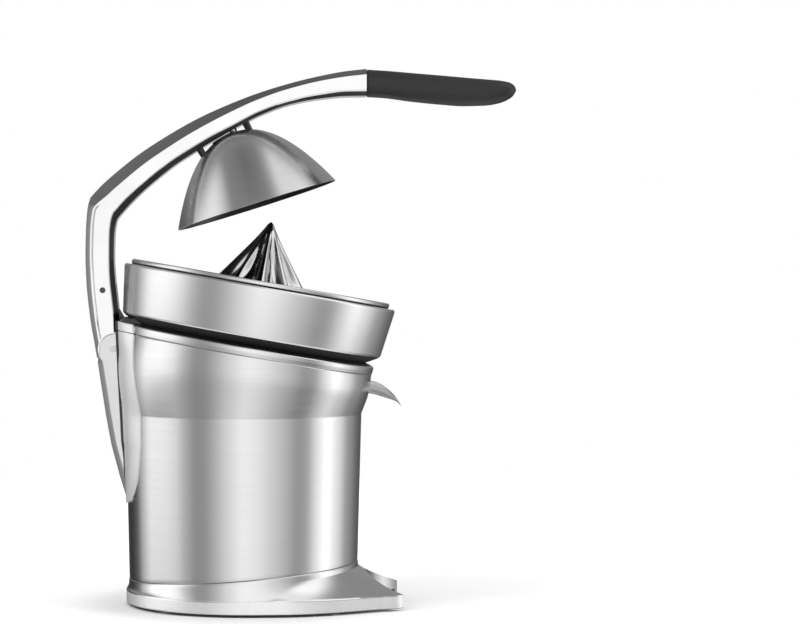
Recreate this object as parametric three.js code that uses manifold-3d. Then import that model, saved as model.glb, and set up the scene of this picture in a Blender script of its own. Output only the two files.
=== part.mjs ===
// Lever citrus juice press with a motor in its body, one mesh for each separate piece.
// Millimetres, +Z up. The spout and the grip point to +X, and the link column stands at -X.
import * as THREE from 'three';
import { mergeVertices } from 'three/addons/utils/BufferGeometryUtils.js';
import Module from 'manifold-3d';

const wasm = await Module();
wasm.setup();

// Shared fits
const fit = 0.3;
const turningGap = 0.5;
const cutOver = 4;
const bite = 1;
const roundSides = 32;
const midSides = 16;
const pinSides = 12;
const screwSides = 8;

// Body shell: a tapered cylinder that flares into a leaning head. Radii follow the crease, heights the head.
const headTilt = THREE.MathUtils.degToRad(10);
const headHeight = 180.7;
const creaseRadius = 95.5;
const creaseDrop = 27;
const shellTaper = 3.2;
const shellWall = 1.2;
const shellTop = 22;
const flareOut = 5.8;
const flareShare = 0.65;
const flareRings = 6;
const shellFootRadius = creaseRadius - shellTaper;
const creaseHeight = headHeight - creaseDrop;
const flareRadius = creaseRadius + flareOut;

// Base skirt, its slanted joint with the shell and the glass recess
const jointHeight = 28;
const jointSlope = Math.tan(THREE.MathUtils.degToRad(4.55));
const skirtProud = 2.5;
const footRadius = shellFootRadius + skirtProud;
const floorGap = 2;
const bandHeight = 12.4;
const skirtWall = 2.5;
const spigotHeight = 6;
const spigotWall = 2.3;
const glassRadius = 56.1;
const glassGap = 3.7;
const glassCentre = footRadius + glassRadius + glassGap;
const plateThickness = 3;
const bossRadius = 6.5;
const bossHeight = 11;
const bossShare = 0.7;
const footPadRadius = 9;
const footStem = 2.5;
const footPlaceShare = 0.66;
const baseScrewHead = 3.2;
const baseScrewShank = 1.6;
const baseScrewHeadHeight = 1.6;
const inletRadius = 4;
const inletBore = 2.6;
const inletAngle = THREE.MathUtils.degToRad(152);
const inletFlange = 1.2;
const inletDepth = 2;

// Head stack, heights measured along the leaning axis from the crossing with the body's axis
const ringProud = 0.8;
const ringWidth = 8.5;
const ringTop = 30.5;
const ringRadius = flareRadius + ringProud;
const ringInner = ringRadius - ringWidth;
const deckThickness = 3;
const deckBossRadius = 13;
const bowlOverhang = 4.2;
const bowlTaper = 4.8;
const bowlRimTop = 76.8;
const bowlFoot = 38.3;
const bowlWall = 1.6;
const bowlSeatInset = 1.2;
const bowlFootRadius = ringRadius + bowlOverhang;
const bowlRimRadius = bowlFootRadius + bowlTaper;
const outletInset = 13;
const outletRadius = 8;
const outletBottom = 15;
const outletPlace = creaseRadius - outletInset;
const filterInset = 6.7;
const filterProud = 4.2;
const filterDepth = 21;
const filterHub = 22;
const filterSlots = 16;
const filterWall = 1.2;
const filterLean = 2.1;
const filterCorner = 9.5;
const filterRadius = bowlRimRadius - filterInset;
const filterRimTop = bowlRimTop + filterProud;
const filterFloor = filterRimTop - filterDepth;
const chimneyBore = 16.2;
const chimneyProud = 2;
const chimneyTop = filterFloor + chimneyProud;
const bossDrop = 10;
const deckBossTop = chimneyTop - bossDrop;
const coneRadius = 49;
const coneGap = 2;
const coneHeight = 66;
const coneFins = 4;
const coneSides = 40;
const coneBore = 5.3;
const coneBoss = 6;
const coneRim = 4;
const coneFoot = chimneyTop + coneGap;
const coneTop = coneFoot + coneHeight;

// Spindle, gears and motor, hung under the deck
const shaftRadius = 5;
const bushLength = 9;
const bushWall = 3.7;
const shaftDrop = 26;
const shaftTop = coneTop - shaftDrop;
const gearModule = 1.2;
const outputModule = 1.8;
const pinionTeeth = 10;
const wheelTeeth = 40;
const smallTeeth = 10;
const outputTeeth = 33;
const idlerAngle = THREE.MathUtils.degToRad(100);
const motorAngle = THREE.MathUtils.degToRad(210);
const gearFace = 8;
const wheelFace = 5;
const coverThickness = 4.7;
const caseWall = 2.5;
const caseDepth = 25.7;
const caseAcross = -13;
const caseAside = 19;
const caseGearGap = 0.98;
const caseRadius = Math.hypot(caseAcross, caseAside) + (outputTeeth / 2 + 1) * outputModule + caseGearGap
  + caseWall;
const casePlace = [caseAcross, caseAside];
const caseScrewAngles = [20, 110, 200, 260].map(THREE.MathUtils.degToRad);
const caseScrewInset = 7;
const caseScrewRadius = caseRadius - caseScrewInset;
const caseScrewShank = 1.7;
const caseScrewHead = 3.4;
const caseScrewHeadHeight = 2.4;
const caseBossRadius = 4;
const screwCover = 1;
const gearHeadroom = 2.7;
const wheelClearance = 3.5;
const hubProud = 1.2;
const motorRadius = 28;
const motorLength = 74;
const motorWall = 1.5;
const motorShaftRadius = 2.5;
const armatureRadius = 20;
const axleRadius = 3;
const pressTravel = 2.2;
const springTurns = 3;
const springHeight = 6.3;
const springPocket = 10.3;
const cupHeight = 3.6;
const cupRecess = 2.2;
const springWire = 1.2;
const switchLength = 20;
const switchWidth = 6.4;
const switchHeight = 10;
const plungerRadius = 1.6;
const plungerLength = 2.6;

// Juice spout
const spoutHalfWidth = 12;
const spoutWall = 1.2;
const spoutInset = 4.1;
const spoutDrop = 14.5;
const spoutLip = 0.5;
const spoutRise = 2.8;
const spoutReach = 31.3;
const spoutDepth = 10;
const spoutWindowHeight = 17.4;
const spoutSwing = 15.2;
const spoutPinRadius = 1.5;
const spoutEar = 2.6;
const spoutCheek = 2;
const bracketBack = 4;
const bracketFront = 2.6;
const bracketFoot = 3.4;
const bracketReach = 18;
const spoutPivot = [creaseRadius - spoutInset, headHeight - spoutDrop];
const spoutMouth = creaseRadius + spoutLip;
const spoutBase = spoutPivot[1] + spoutRise;

// Lever linkage
const kneeInset = 6.9;
const kneeRise = 25.3;
const lowerPinInset = 4.3;
const lowerPinDrop = 78.7;
const upperPinInset = 19.2;
const upperPinRise = 18.4;
const kneePin = [kneeInset - bowlRimRadius, headHeight + kneeRise];
const lowerPin = [lowerPinInset - shellFootRadius, headHeight - lowerPinDrop];
const upperPin = [upperPinInset - flareRadius, headHeight + upperPinRise];
const armReach = 325.1;
const armHalfWidth = 14;
const armTipHalfWidth = 13;
const kneeRadius = 12.4;
const earThickness = 5;
const kneePinRadius = 3;
const linkPinRadius = 2.5;
const upperLinkHalf = 3.7;
const upperLinkEye = 6.5;
const armPinRadius = 2.2;
const openPinPlay = 2.1;
const earRecess = 1;
const columnWall = 3;
const columnLevelShare = 0.953;
const columnRise = ringTop * Math.cos(headTilt) + flareRadius * Math.sin(headTilt) * columnLevelShare;
const columnBelow = 19;
const columnOut = 1;
const columnSpread = 46;
const columnProud = 0.6;
const backFlare = 1.6;
const bayDepth = 12;
const slotPlay = 1.6;
const slotHalf = armHalfWidth + slotPlay;
const capHeight = 4.8;

// Grip and pressing dome
const gripHalfWidth = 14.5;
const tangHeight = 11;
const tangHalfWidth = 8;
const gripScrewRadius = 2;
const gripScrewHead = 2;
const domeRadius = 66.7;
const domeHeight = 61.8;
const domeFullness = 0.46;
const domeWall = 1.4;
const domeRings = 6;
const domeLean = THREE.MathUtils.degToRad(-17.55);
const domeSeatShare = [0.29345, 0.54401];
const domeDrop = 1.45;
const collarRadius = 24.3;
const collarHeight = 6.4;
const collarLean = THREE.MathUtils.degToRad(-30);
const collarShare = [0.2697, 0.5281];
const boltRadius = 3;
const boltHeadRadius = 8;
const boltSeat = 1.6;
const boltReach = 10;

// Materials
const steel = [0xb9bbbd, 0.32, 1];
const castMetal = [0xc9cacc, 0.2, 1];
const blackPlastic = [0x26272a, 0.6, 0];
const softBlack = [0x1d1e20, 0.75, 0];
const rubber = [0x17181a, 0.9, 0];
const nylon = [0xd9d6cc, 0.55, 0];
const greyPlastic = [0x6e7276, 0.5, 0];
const brass = [0xb08d4f, 0.35, 1];
const copper = [0x8d4f2f, 0.45, 1];

// Geometry helpers
function tidy(geometry) {
  const plain = geometry.index ? geometry.toNonIndexed() : geometry.clone();
  Object.keys(plain.attributes).filter((name) => name !== 'position').forEach((name) =>
    plain.deleteAttribute(name));
  const merged = mergeVertices(plain, 1e-4);
  const corner = merged.index.array;
  const kept = [];
  for (let i = 0; i < corner.length; i += 3) {
    const [a, b, c] = [corner[i], corner[i + 1], corner[i + 2]];
    if (a !== b && b !== c && c !== a) kept.push(a, b, c);
  }
  const p = merged.attributes.position;
  const [u, v, w] = [new THREE.Vector3(), new THREE.Vector3(), new THREE.Vector3()];
  let volume = 0;
  for (let i = 0; i < kept.length; i += 3) {
    u.fromBufferAttribute(p, kept[i]);
    v.fromBufferAttribute(p, kept[i + 1]);
    w.fromBufferAttribute(p, kept[i + 2]);
    volume += u.dot(v.cross(w));
  }
  if (volume < 0) {
    for (let i = 0; i < kept.length; i += 3) [kept[i], kept[i + 1]] = [kept[i + 1], kept[i]];
  }
  merged.setIndex(kept);
  return merged;
}

function solidOf(geometry) {
  const clean = tidy(geometry);
  return new wasm.Manifold(new wasm.Mesh({
    numProp: 3,
    vertProperties: new Float32Array(clean.attributes.position.array),
    triVerts: new Uint32Array(clean.index.array),
  }));
}

function geometryOf(solid) {
  const mesh = solid.getMesh();
  const geometry = new THREE.BufferGeometry();
  geometry.setAttribute('position', new THREE.BufferAttribute(new Float32Array(mesh.vertProperties), 3));
  geometry.setIndex(Array.from(mesh.triVerts));
  return geometry;
}

function cut(body, ...tools) {
  return geometryOf(tools.reduce((left, tool) => left.subtract(solidOf(tool)), solidOf(body)));
}

function join(body, ...more) {
  return geometryOf(more.reduce((sum, piece) => sum.add(solidOf(piece)), solidOf(body)));
}

function keep(body, ...tools) {
  return geometryOf(tools.reduce((left, tool) => left.intersect(solidOf(tool)), solidOf(body)));
}

// Rings of points joined into one skin, looped on itself or capped at both ends
function skin(rings, looped = false) {
  const count = rings[0].length;
  const points = rings.flat().flatMap((p) => [p.x, p.y, p.z]);
  const index = [];
  const bands = looped ? rings.length : rings.length - 1;
  for (let i = 0; i < bands; i += 1) {
    const a = i * count;
    const b = ((i + 1) % rings.length) * count;
    for (let j = 0; j < count; j += 1) {
      const k = (j + 1) % count;
      index.push(a + j, a + k, b + k, a + j, b + k, b + j);
    }
  }
  if (!looped) {
    [0, rings.length - 1].forEach((row, end) => {
      const middle = rings[row].reduce((sum, p) => sum.add(p), new THREE.Vector3()).divideScalar(count);
      const hub = points.length / 3;
      points.push(middle.x, middle.y, middle.z);
      for (let j = 0; j < count; j += 1) {
        const a = row * count + j;
        const b = row * count + ((j + 1) % count);
        index.push(...(end === 0 ? [hub, b, a] : [hub, a, b]));
      }
    });
  }
  const geometry = new THREE.BufferGeometry();
  geometry.setAttribute('position', new THREE.Float32BufferAttribute(points, 3));
  geometry.setIndex(index);
  return tidy(geometry);
}

// Profile of [radius, height] pairs turned about Z
function revolve(profile, sides = roundSides) {
  const points = profile.map(([r, z]) => new THREE.Vector2(r, z));
  const [first, last] = [points[0], points[points.length - 1]];
  if (first.x > 0 || last.x > 0) points.push(first.clone());
  return tidy(new THREE.LatheGeometry(points, sides).rotateX(Math.PI / 2));
}

function disc(radius, bottom, top, sides = midSides) {
  return revolve([[0, bottom], [radius, bottom], [radius, top], [0, top]], sides);
}

function washer(bore, radius, bottom, top, sides = midSides) {
  return revolve([[bore, bottom], [radius, bottom], [radius, top], [bore, top]], sides);
}

// Rod across the press, along Y, at [x, z]
function crossRod([x, z], radius, from, to, sides = pinSides) {
  const rod = new THREE.CylinderGeometry(radius, radius, to - from, sides);
  return tidy(rod.translate(x, (from + to) / 2, z));
}

function block(x0, x1, y0, y1, z0, z1) {
  const box = new THREE.BoxGeometry(x1 - x0, y1 - y0, z1 - z0);
  return tidy(box.translate((x0 + x1) / 2, (y0 + y1) / 2, (z0 + z1) / 2));
}

// Side outline of [x, z] pairs, as wide as from one Y to the other
function sidePlate(outline, from, to) {
  const shape = new THREE.Shape(outline.map(([x, z]) => new THREE.Vector2(x, z)));
  const plate = new THREE.ExtrudeGeometry(shape, { depth: to - from, bevelEnabled: false });
  return tidy(plate.rotateX(Math.PI / 2).translate(0, to, 0));
}

function placed(geometry, matrix) {
  return geometry.clone().applyMatrix4(matrix);
}

const headMatrix = new THREE.Matrix4().makeRotationY(headTilt).setPosition(0, 0, headHeight);

function inHead(geometry) {
  return placed(geometry, headMatrix);
}

function headPoint(u, w) {
  const p = new THREE.Vector3(u, 0, w).applyMatrix4(headMatrix);
  return [p.x, p.z];
}

function lerp(a, b, t) {
  return a + (b - a) * t;
}

// Body shell: outer skin radius and lean at a share of the flare
function flareAt(t) {
  const ease = 8;
  const rise = (u) => 1 - Math.log(1 + Math.exp(ease * (1 - u / flareShare))) / ease;
  return (rise(t) - rise(0)) / (rise(1) - rise(0));
}

function leaningRing(radius, x, z, lean, sides = roundSides) {
  return Array.from({ length: sides }, (_, j) => {
    const turn = (2 * Math.PI * j) / sides;
    const out = radius * Math.cos(turn);
    return new THREE.Vector3(x + out * Math.cos(lean), radius * Math.sin(turn), z - out * Math.sin(lean));
  });
}

function jointRing(radius, height, sides = roundSides) {
  return Array.from({ length: sides }, (_, j) => {
    const turn = (2 * Math.PI * j) / sides;
    const x = radius * Math.cos(turn);
    return new THREE.Vector3(x, radius * Math.sin(turn), height + x * jointSlope);
  });
}

// Rings of the shell's skin, moved outward by a distance, from the joint to the leaning top edge
function shellRings(offset, extraTop = 0) {
  const rings = [jointRing(shellFootRadius + offset, jointHeight + fit)];
  const [topX, topZ] = headPoint(0, shellTop);
  for (let i = 0; i < flareRings; i += 1) {
    const t = i / (flareRings - 1);
    const radius = lerp(creaseRadius, flareRadius, flareAt(t)) + offset;
    rings.push(leaningRing(radius, topX * t, lerp(creaseHeight, topZ, t), headTilt * t));
  }
  if (extraTop > 0) {
    const [x, z] = headPoint(0, shellTop + extraTop);
    rings.push(leaningRing(flareRadius + offset, x, z, headTilt));
  }
  return rings;
}

const shellCore = (offset) => skin(shellRings(offset, cutOver * 2));

// Skirt outline: the round foot swells toward the horns in front
const outlineShares = [[0, 1.475], [14, 1.465], [22, 1.43], [30, 1.29], [40, 1.19], [52, 1.12], [66, 1.06],
  [80, 1.01],
  [92, 1], [180, 1]];

function outlineRadius(turn) {
  const degrees = THREE.MathUtils.radToDeg(Math.abs(Math.atan2(Math.sin(turn), Math.cos(turn))));
  const i = Math.max(1, outlineShares.findIndex(([angle]) => angle >= degrees - 1e-9));
  const [a0, r0] = outlineShares[i - 1];
  const [a1, r1] = outlineShares[i];
  return footRadius * lerp(r0, r1, (degrees - a0) / (a1 - a0));
}

const skirtSides = 48;
const skirtShoulderShares = [0.29, 0.53];

function outlineRing(inset, height) {
  return Array.from({ length: skirtSides }, (_, j) => {
    const turn = (2 * Math.PI * j) / skirtSides;
    const r = outlineRadius(turn) - inset;
    return new THREE.Vector3(r * Math.cos(turn), r * Math.sin(turn), height);
  });
}

// One ring of the hollow curve between the foot band and the joint, by share of the way up
function skirtRing(inset, drop, t) {
  return Array.from({ length: skirtSides }, (_, j) => {
    const turn = (2 * Math.PI * j) / skirtSides;
    const top = new THREE.Vector2(shellFootRadius, jointHeight + shellFootRadius * Math.cos(turn)
      * jointSlope);
    const foot = new THREE.Vector2(outlineRadius(turn), bandHeight);
    const [acrossShare, upShare] = skirtShoulderShares;
    const knee = new THREE.Vector2(lerp(top.x, foot.x, acrossShare), lerp(foot.y, top.y, upShare));
    const p = new THREE.QuadraticBezierCurve(foot, knee, top).getPoint(t);
    const r = p.x - inset;
    return new THREE.Vector3(r * Math.cos(turn), r * Math.sin(turn), p.y - drop);
  });
}

const skirtSteps = [0, 0.35, 1];
const glass = (extra) => disc(glassRadius + extra, -cutOver, jointHeight * 2,
  roundSides).translate(glassCentre, 0, 0);

function baseBossPlaces() {
  return [45, 135, 225, 315].map((degrees) => {
    const turn = THREE.MathUtils.degToRad(degrees);
    const r = outlineRadius(turn) - skirtWall - bossRadius * bossShare;
    return [r * Math.cos(turn), r * Math.sin(turn)];
  });
}

function inletMatrix() {
  const out = new THREE.Vector3(Math.cos(inletAngle), Math.sin(inletAngle), 0);
  const turn = new THREE.Quaternion().setFromUnitVectors(new THREE.Vector3(0, 0, 1), out);
  const place = out.clone().multiplyScalar(footRadius - skirtWall).setZ(bandHeight * 1.04);
  return new THREE.Matrix4().makeRotationFromQuaternion(turn).setPosition(place);
}

function baseSkirt() {
  const outer = [outlineRing(0, floorGap), ...skirtSteps.map((t) => skirtRing(0, 0, t))];
  const lip = (inset, rise) => Array.from({ length: skirtSides }, (_, j) => {
    const turn = (2 * Math.PI * j) / skirtSides;
    const r = shellFootRadius - shellWall - fit * 2 - inset;
    return new THREE.Vector3(r * Math.cos(turn), r * Math.sin(turn),
      jointHeight + r * Math.cos(turn) * jointSlope + rise);
  });
  const inner = skirtSteps.map((t) => skirtRing(skirtWall + (spigotWall + shellWall) * t * t,
    skirtWall * (1 - t * 0.4), t));
  const hollow = skin([...outer, lip(0, 0), lip(0, spigotHeight), lip(spigotWall, spigotHeight),
    ...inner.reverse(), outlineRing(skirtWall, floorGap)], true);
  const whole = skin(outer);
  const half = skirtWall / 2;
  const core = skin([outlineRing(half, floorGap), ...skirtSteps.map((t) => skirtRing(half, half, t))]);
  const recessWall = keep(whole, glass(skirtWall));
  const bosses = baseBossPlaces().map(([x, y]) => (
    keep(disc(bossRadius, floorGap + plateThickness, floorGap + plateThickness + bossHeight, pinSides)
      .translate(x, y, 0), core)));
  const bores = baseBossPlaces().map(([x, y]) => (
    disc(baseScrewShank + fit, 0, floorGap + plateThickness + bossHeight - skirtWall,
      screwSides).translate(x, y, 0)));
  const inlet = placed(disc(inletRadius + fit, -bossRadius, bossRadius, pinSides), inletMatrix());
  const seatRadius = inletRadius + inletFlange + fit;
  const inletSeat = placed(disc(seatRadius, -bossRadius * 2, -inletDepth + fit, pinSides), inletMatrix());
  return cut(join(hollow, recessWall, ...bosses), glass(0), ...bores, inlet, inletSeat);
}

function basePlate() {
  const plate = skin([outlineRing(skirtWall + fit, floorGap),
    outlineRing(skirtWall + fit, floorGap + plateThickness)]);
  const bores = baseBossPlaces().flatMap(([x, y]) => [
    disc(baseScrewShank + fit, 0, floorGap * 4, screwSides).translate(x, y, 0),
    disc(baseScrewHead + fit, 0, floorGap + baseScrewHeadHeight, screwSides).translate(x, y, 0)]);
  const stems = footPlaces().map(([x, y]) => disc(footStem + fit, 0, floorGap * 4, screwSides).translate(x,
    y, 0));
  return cut(plate, glass(skirtWall + fit), ...bores, ...stems);
}

function footPlaces() {
  return [38, 142, 218, 322].map((degrees) => {
    const turn = THREE.MathUtils.degToRad(degrees);
    const r = footRadius * footPlaceShare * (Math.cos(turn) > 0 ? 1.15 : 1);
    return [r * Math.cos(turn), r * Math.sin(turn)];
  });
}

function rubberFoot() {
  const chamfer = floorGap / 3;
  return revolve([[0, 0], [footPadRadius - chamfer, 0], [footPadRadius, chamfer], [footPadRadius, floorGap],
    [footStem, floorGap], [footStem, floorGap + plateThickness], [0, floorGap + plateThickness]], pinSides);
}

function baseScrew() {
  const seat = floorGap + baseScrewHeadHeight;
  const end = floorGap + plateThickness + bossHeight - skirtWall - bite;
  return revolve([[0, floorGap * 1.1], [baseScrewHead, floorGap * 1.1], [baseScrewHead, seat],
    [baseScrewShank, seat], [baseScrewShank, end], [0, end]], screwSides);
}

function cordInlet() {
  const back = -inletDepth - inletFlange;
  return placed(revolve([[inletBore, back], [inletRadius + inletFlange, back],
    [inletRadius + inletFlange, -inletDepth],
    [inletRadius, -inletDepth], [inletRadius, skirtWall], [inletBore, skirtWall]], pinSides), inletMatrix());
}

// Openings through the shell for the link column and for the spout
const bayFront = lowerPin[0] + bayDepth;
const columnTop = headHeight + columnRise;
const columnLow = lowerPin[1] - columnBelow;
const columnBack = flareRadius + columnOut;
const spoutWindow = () => block(creaseRadius * 0.8, ringRadius * 1.2, -spoutHalfWidth - spoutWall,
  spoutHalfWidth + spoutWall, spoutPivot[1] + turningGap, spoutPivot[1] + spoutWindowHeight);

function housingShell() {
  const outer = shellRings(0);
  const inner = shellRings(-shellWall).reverse();
  return cut(skin([...outer, ...inner], true), columnBody(fit), spoutWindow());
}

// Bay that the arm and the links move in, cut from what the head carries
const linkBay = () => block(-creaseRadius * 1.6, columnWall * 2 - creaseRadius, -slotHalf, slotHalf,
  columnLow,
  headHeight * 1.6);
const upperLinkBay = () => block(-creaseRadius * 1.6, upperPin[0] + upperLinkEye, -upperLinkHalf * 1.6,
  upperLinkHalf * 1.6, columnLow, headHeight * 1.6);
const toHead = headMatrix.clone().invert();

function housingRing() {
  const bottom = shellTop + fit;
  const height = ringTop - bottom;
  const ring = revolve([[ringInner, bottom], [flareRadius, bottom], [ringRadius, bottom + height * 0.26],
    [ringRadius - height * 0.1, bottom + height * 0.58], [ringRadius - height * 0.5, bottom + height * 0.83],
    [ringInner + height * 0.24, ringTop], [ringInner, ringTop]]);
  return cut(ring, placed(linkBay(), toHead), placed(upperLinkBay(), toHead));
}

function caseScrewPlaces() {
  return caseScrewAngles.map((turn) => (
    [casePlace[0] + caseScrewRadius * Math.cos(turn), casePlace[1] + caseScrewRadius * Math.sin(turn)]));
}

const deckRadius = flareRadius - shellWall - fit;
const deckBottom = shellTop - deckThickness;

function topDeck() {
  const bore = shaftRadius + fit + bushWall;
  const deck = revolve([[bore, deckBottom], [deckRadius, deckBottom], [deckRadius, shellTop],
    [deckBossRadius, shellTop],
    [deckBossRadius, deckBossTop], [bore, deckBossTop]]);
  const outlet = disc(outletRadius + bowlWall + turningGap * 2, deckBottom - cutOver, shellTop + cutOver,
    midSides)
    .translate(outletPlace, 0, 0);
  const holes = caseScrewPlaces().map(([x, y]) => (
    disc(caseScrewShank + fit, deckBottom - cutOver, shellTop - screwCover, screwSides).translate(x, y, 0)));
  return cut(deck, outlet, ...holes, placed(linkBay(), toHead), placed(upperLinkBay(), toHead));
}

const bowlUnder = ringTop + fit;

// Inner radius of the bowl's conical wall at a height
function bowlInside(height) {
  return lerp(bowlFootRadius, bowlRimRadius, (height - bowlFoot) / (bowlRimTop - bowlFoot)) - bowlWall;
}

function juiceBowl() {
  const seat = ringInner + bowlSeatInset;
  const bowl = revolve([
    [bowlRimRadius - bowlWall, bowlRimTop - bowlWall * 0.5],
      [bowlFootRadius - bowlWall * 1.2, bowlFoot + bowlWall],
    [seat, bowlUnder + bowlWall], [chimneyBore + bowlWall, bowlUnder + bowlWall * 2],
    [chimneyBore + bowlWall, chimneyTop], [chimneyBore, chimneyTop], [chimneyBore, bowlUnder],
      [seat, bowlUnder],
    [bowlFootRadius - bowlWall * 0.8, bowlFoot - bowlWall * 0.6],
      [bowlFootRadius, bowlFoot + bowlWall * 0.2],
    [bowlRimRadius, bowlRimTop - bowlWall * 0.5], [bowlRimRadius - bowlWall * 0.5, bowlRimTop]]);
  const hole = disc(outletRadius + bowlWall + fit, bowlUnder - cutOver, bowlFoot, midSides);
  return cut(bowl, hole.translate(outletPlace, 0, 0));
}

// Outlet tube, set into the hole in the bowl's floor
function bowlOutlet() {
  return washer(outletRadius, outletRadius + bowlWall, outletBottom, bowlUnder + bowlWall, midSides)
    .translate(outletPlace, 0, 0);
}

// Pulp filter: a slotted dish with a hub over the chimney and a shelf against the bowl's wall
function pulpFilter() {
  const hubFoot = chimneyTop + fit;
  const shelf = filterRimTop - filterDepth * 0.42;
  const shelfReach = bowlInside(shelf) - fit;
  const [shoulder, corner] = [filterRadius - filterLean, filterRadius - filterCorner];
  const tray = revolve([
    [shoulder, filterFloor + filterDepth * 0.3], [corner, filterFloor],
      [filterHub, filterFloor - filterDepth * 0.12],
    [filterHub, hubFoot], [chimneyBore + turningGap, hubFoot],
      [chimneyBore + turningGap, hubFoot + filterWall],
    [filterHub + filterWall, hubFoot + filterWall],
      [filterHub + filterWall, filterFloor - filterDepth * 0.06],
    [corner, filterFloor + filterWall], [shoulder - filterWall, filterFloor + filterDepth * 0.34],
    [filterRadius - filterWall, filterRimTop], [filterRadius, filterRimTop],
      [filterRadius, shelf + filterWall],
    [shelfReach, shelf + filterWall], [shelfReach, shelf], [filterRadius - filterWall / 2, shelf]]);
  const slots = Array.from({ length: filterSlots }, (_, i) => (
    block(coneRadius * 0.72, filterRadius - filterCorner * 1.4, -filterWall, filterWall,
      filterFloor - filterDepth * 0.4,
      filterFloor + filterDepth * 0.15).rotateZ((2 * Math.PI * (i + 0.25)) / filterSlots)));
  return cut(tray, ...slots);
}

// Juicing cone: a bell-mouthed cone whose section swells into tall fins with a low rib between each two
const coneShares = [[0, 1], [0.03, 0.985], [0.13, 0.85], [0.27, 0.7], [0.45, 0.52], [0.63, 0.345],
  [0.8, 0.185],
  [0.92, 0.085], [0.98, 0.03]];

function coneSection(heightShare, radiusShare) {
  const height = lerp(coneFoot, coneTop, heightShare);
  const depthShare = 0.3 * Math.sin(Math.PI * Math.min(1, heightShare * 1.1 + 0.06));
  return Array.from({ length: coneSides }, (_, j) => {
    const turn = (2 * Math.PI * j) / coneSides;
    const fin = Math.abs(Math.cos((turn * coneFins) / 2)) ** 8;
    const rib = 0.45 * Math.abs(Math.sin((turn * coneFins) / 2)) ** 12;
    const r = coneRadius * radiusShare * (1 - depthShare * (1 - Math.max(fin, rib)));
    return new THREE.Vector3(r * Math.cos(turn), r * Math.sin(turn), height);
  });
}

function juicingCone() {
  const body = skin(coneShares.map(([up, out]) => coneSection(up, out)));
  const hollowTop = lerp(coneFoot, coneTop, 0.45);
  const hollow = revolve([[shaftRadius + coneBoss, coneFoot - cutOver],
    [coneRadius - coneRim, coneFoot - cutOver],
    [coneRadius - coneRim, coneFoot], [coneRadius * 0.56, lerp(coneFoot, hollowTop, 0.45)],
    [shaftRadius + coneBoss + fit, hollowTop]], midSides);
  const bore = disc(coneBore, coneFoot - cutOver, shaftTop + fit, pinSides);
  return cut(body, hollow, bore);
}

// Gear blank with straight-flanked teeth, thinner than half the pitch so that a pair runs free
function gear(teeth, module, bottom, top, bore, phase = 0) {
  const pitch = (teeth * module) / 2;
  const [tip, root] = [pitch + module * 0.82, pitch - module * 1.12];
  const step = (2 * Math.PI) / teeth;
  const [tipShare, rootShare] = [0.085, 0.27];
  const outline = Array.from({ length: teeth }, (_, i) => {
    const middle = i * step + phase;
    return [[root, -rootShare], [tip, -tipShare], [tip, tipShare], [root, rootShare]]
      .map(([r, share]) => new THREE.Vector2(r * Math.cos(middle + share * step),
        r * Math.sin(middle + share * step)));
  }).flat();
  const shape = new THREE.Shape(outline);
  shape.holes.push(new THREE.Path().absarc(0, 0, bore, 0, Math.PI * 2, true));
  const blank = new THREE.ExtrudeGeometry(shape, { depth: top - bottom, bevelEnabled: false,
    curveSegments: pinSides });
  return tidy(blank.translate(0, 0, bottom));
}

const coverTop = deckBottom - fit;
const coverBottom = coverTop - coverThickness;
const caseTop = coverBottom - fit;
const caseBottom = caseTop - caseDepth;
const caseFloor = caseBottom + caseWall;
const outputBottom = caseTop - gearFace - gearHeadroom;
const wheelBottom = caseFloor + wheelClearance;
const idlerSpan = ((smallTeeth + outputTeeth) * outputModule) / 2;
const motorSpan = ((pinionTeeth + wheelTeeth) * gearModule) / 2;
const idlerPlace = [idlerSpan * Math.cos(idlerAngle), idlerSpan * Math.sin(idlerAngle)];
const motorPlace = [idlerPlace[0] + motorSpan * Math.cos(motorAngle),
  idlerPlace[1] + motorSpan * Math.sin(motorAngle)];
const springTop = caseFloor + springHeight;
const hubBottom = outputBottom - hubProud;

// A wheel turned so that a gap of its teeth faces the partner's tooth
function facingPhase(teeth, towards) {
  return towards + Math.PI / teeth;
}

const caseSides = midSides + 8;

function gearboxCase() {
  const [x, y] = casePlace;
  const cup = revolve([[0, caseBottom], [caseRadius, caseBottom], [caseRadius, caseTop],
    [caseRadius - caseWall, caseTop],
    [caseRadius - caseWall, caseFloor], [0, caseFloor]], caseSides).translate(x, y, 0);
  const pocket = disc(springPocket + caseWall, caseFloor - bite, hubBottom - fit);
  const bosses = caseScrewPlaces().map(([u, v]) => (
    disc(caseBossRadius, caseFloor - bite, caseTop, screwSides).translate(u, v, 0)));
  const switchPosts = [-1, 1].map((side) => (
    disc(springWire * 2, caseBottom - pressTravel * 2, caseBottom + bite, screwSides)
      .translate(side * switchLength * 0.36, 0, 0)));
  const holes = [
    disc(springPocket, caseFloor, caseTop + cutOver),
    disc(springWire * 2 + fit * 2, caseBottom - cutOver, caseTop, pinSides),
    disc(axleRadius + fit, caseBottom - cutOver, caseTop, pinSides).translate(...idlerPlace, 0),
    disc((pinionTeeth * gearModule) / 2 + gearModule * 1.6, caseBottom - cutOver, caseTop, pinSides)
      .translate(...motorPlace, 0),
    ...caseScrewPlaces().map(([u, v]) => (
      disc(caseScrewShank + fit, caseBottom - cutOver, caseTop + cutOver, screwSides).translate(u, v, 0)))];
  return cut(join(cup, pocket, ...bosses, ...switchPosts), ...holes);
}

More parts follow.
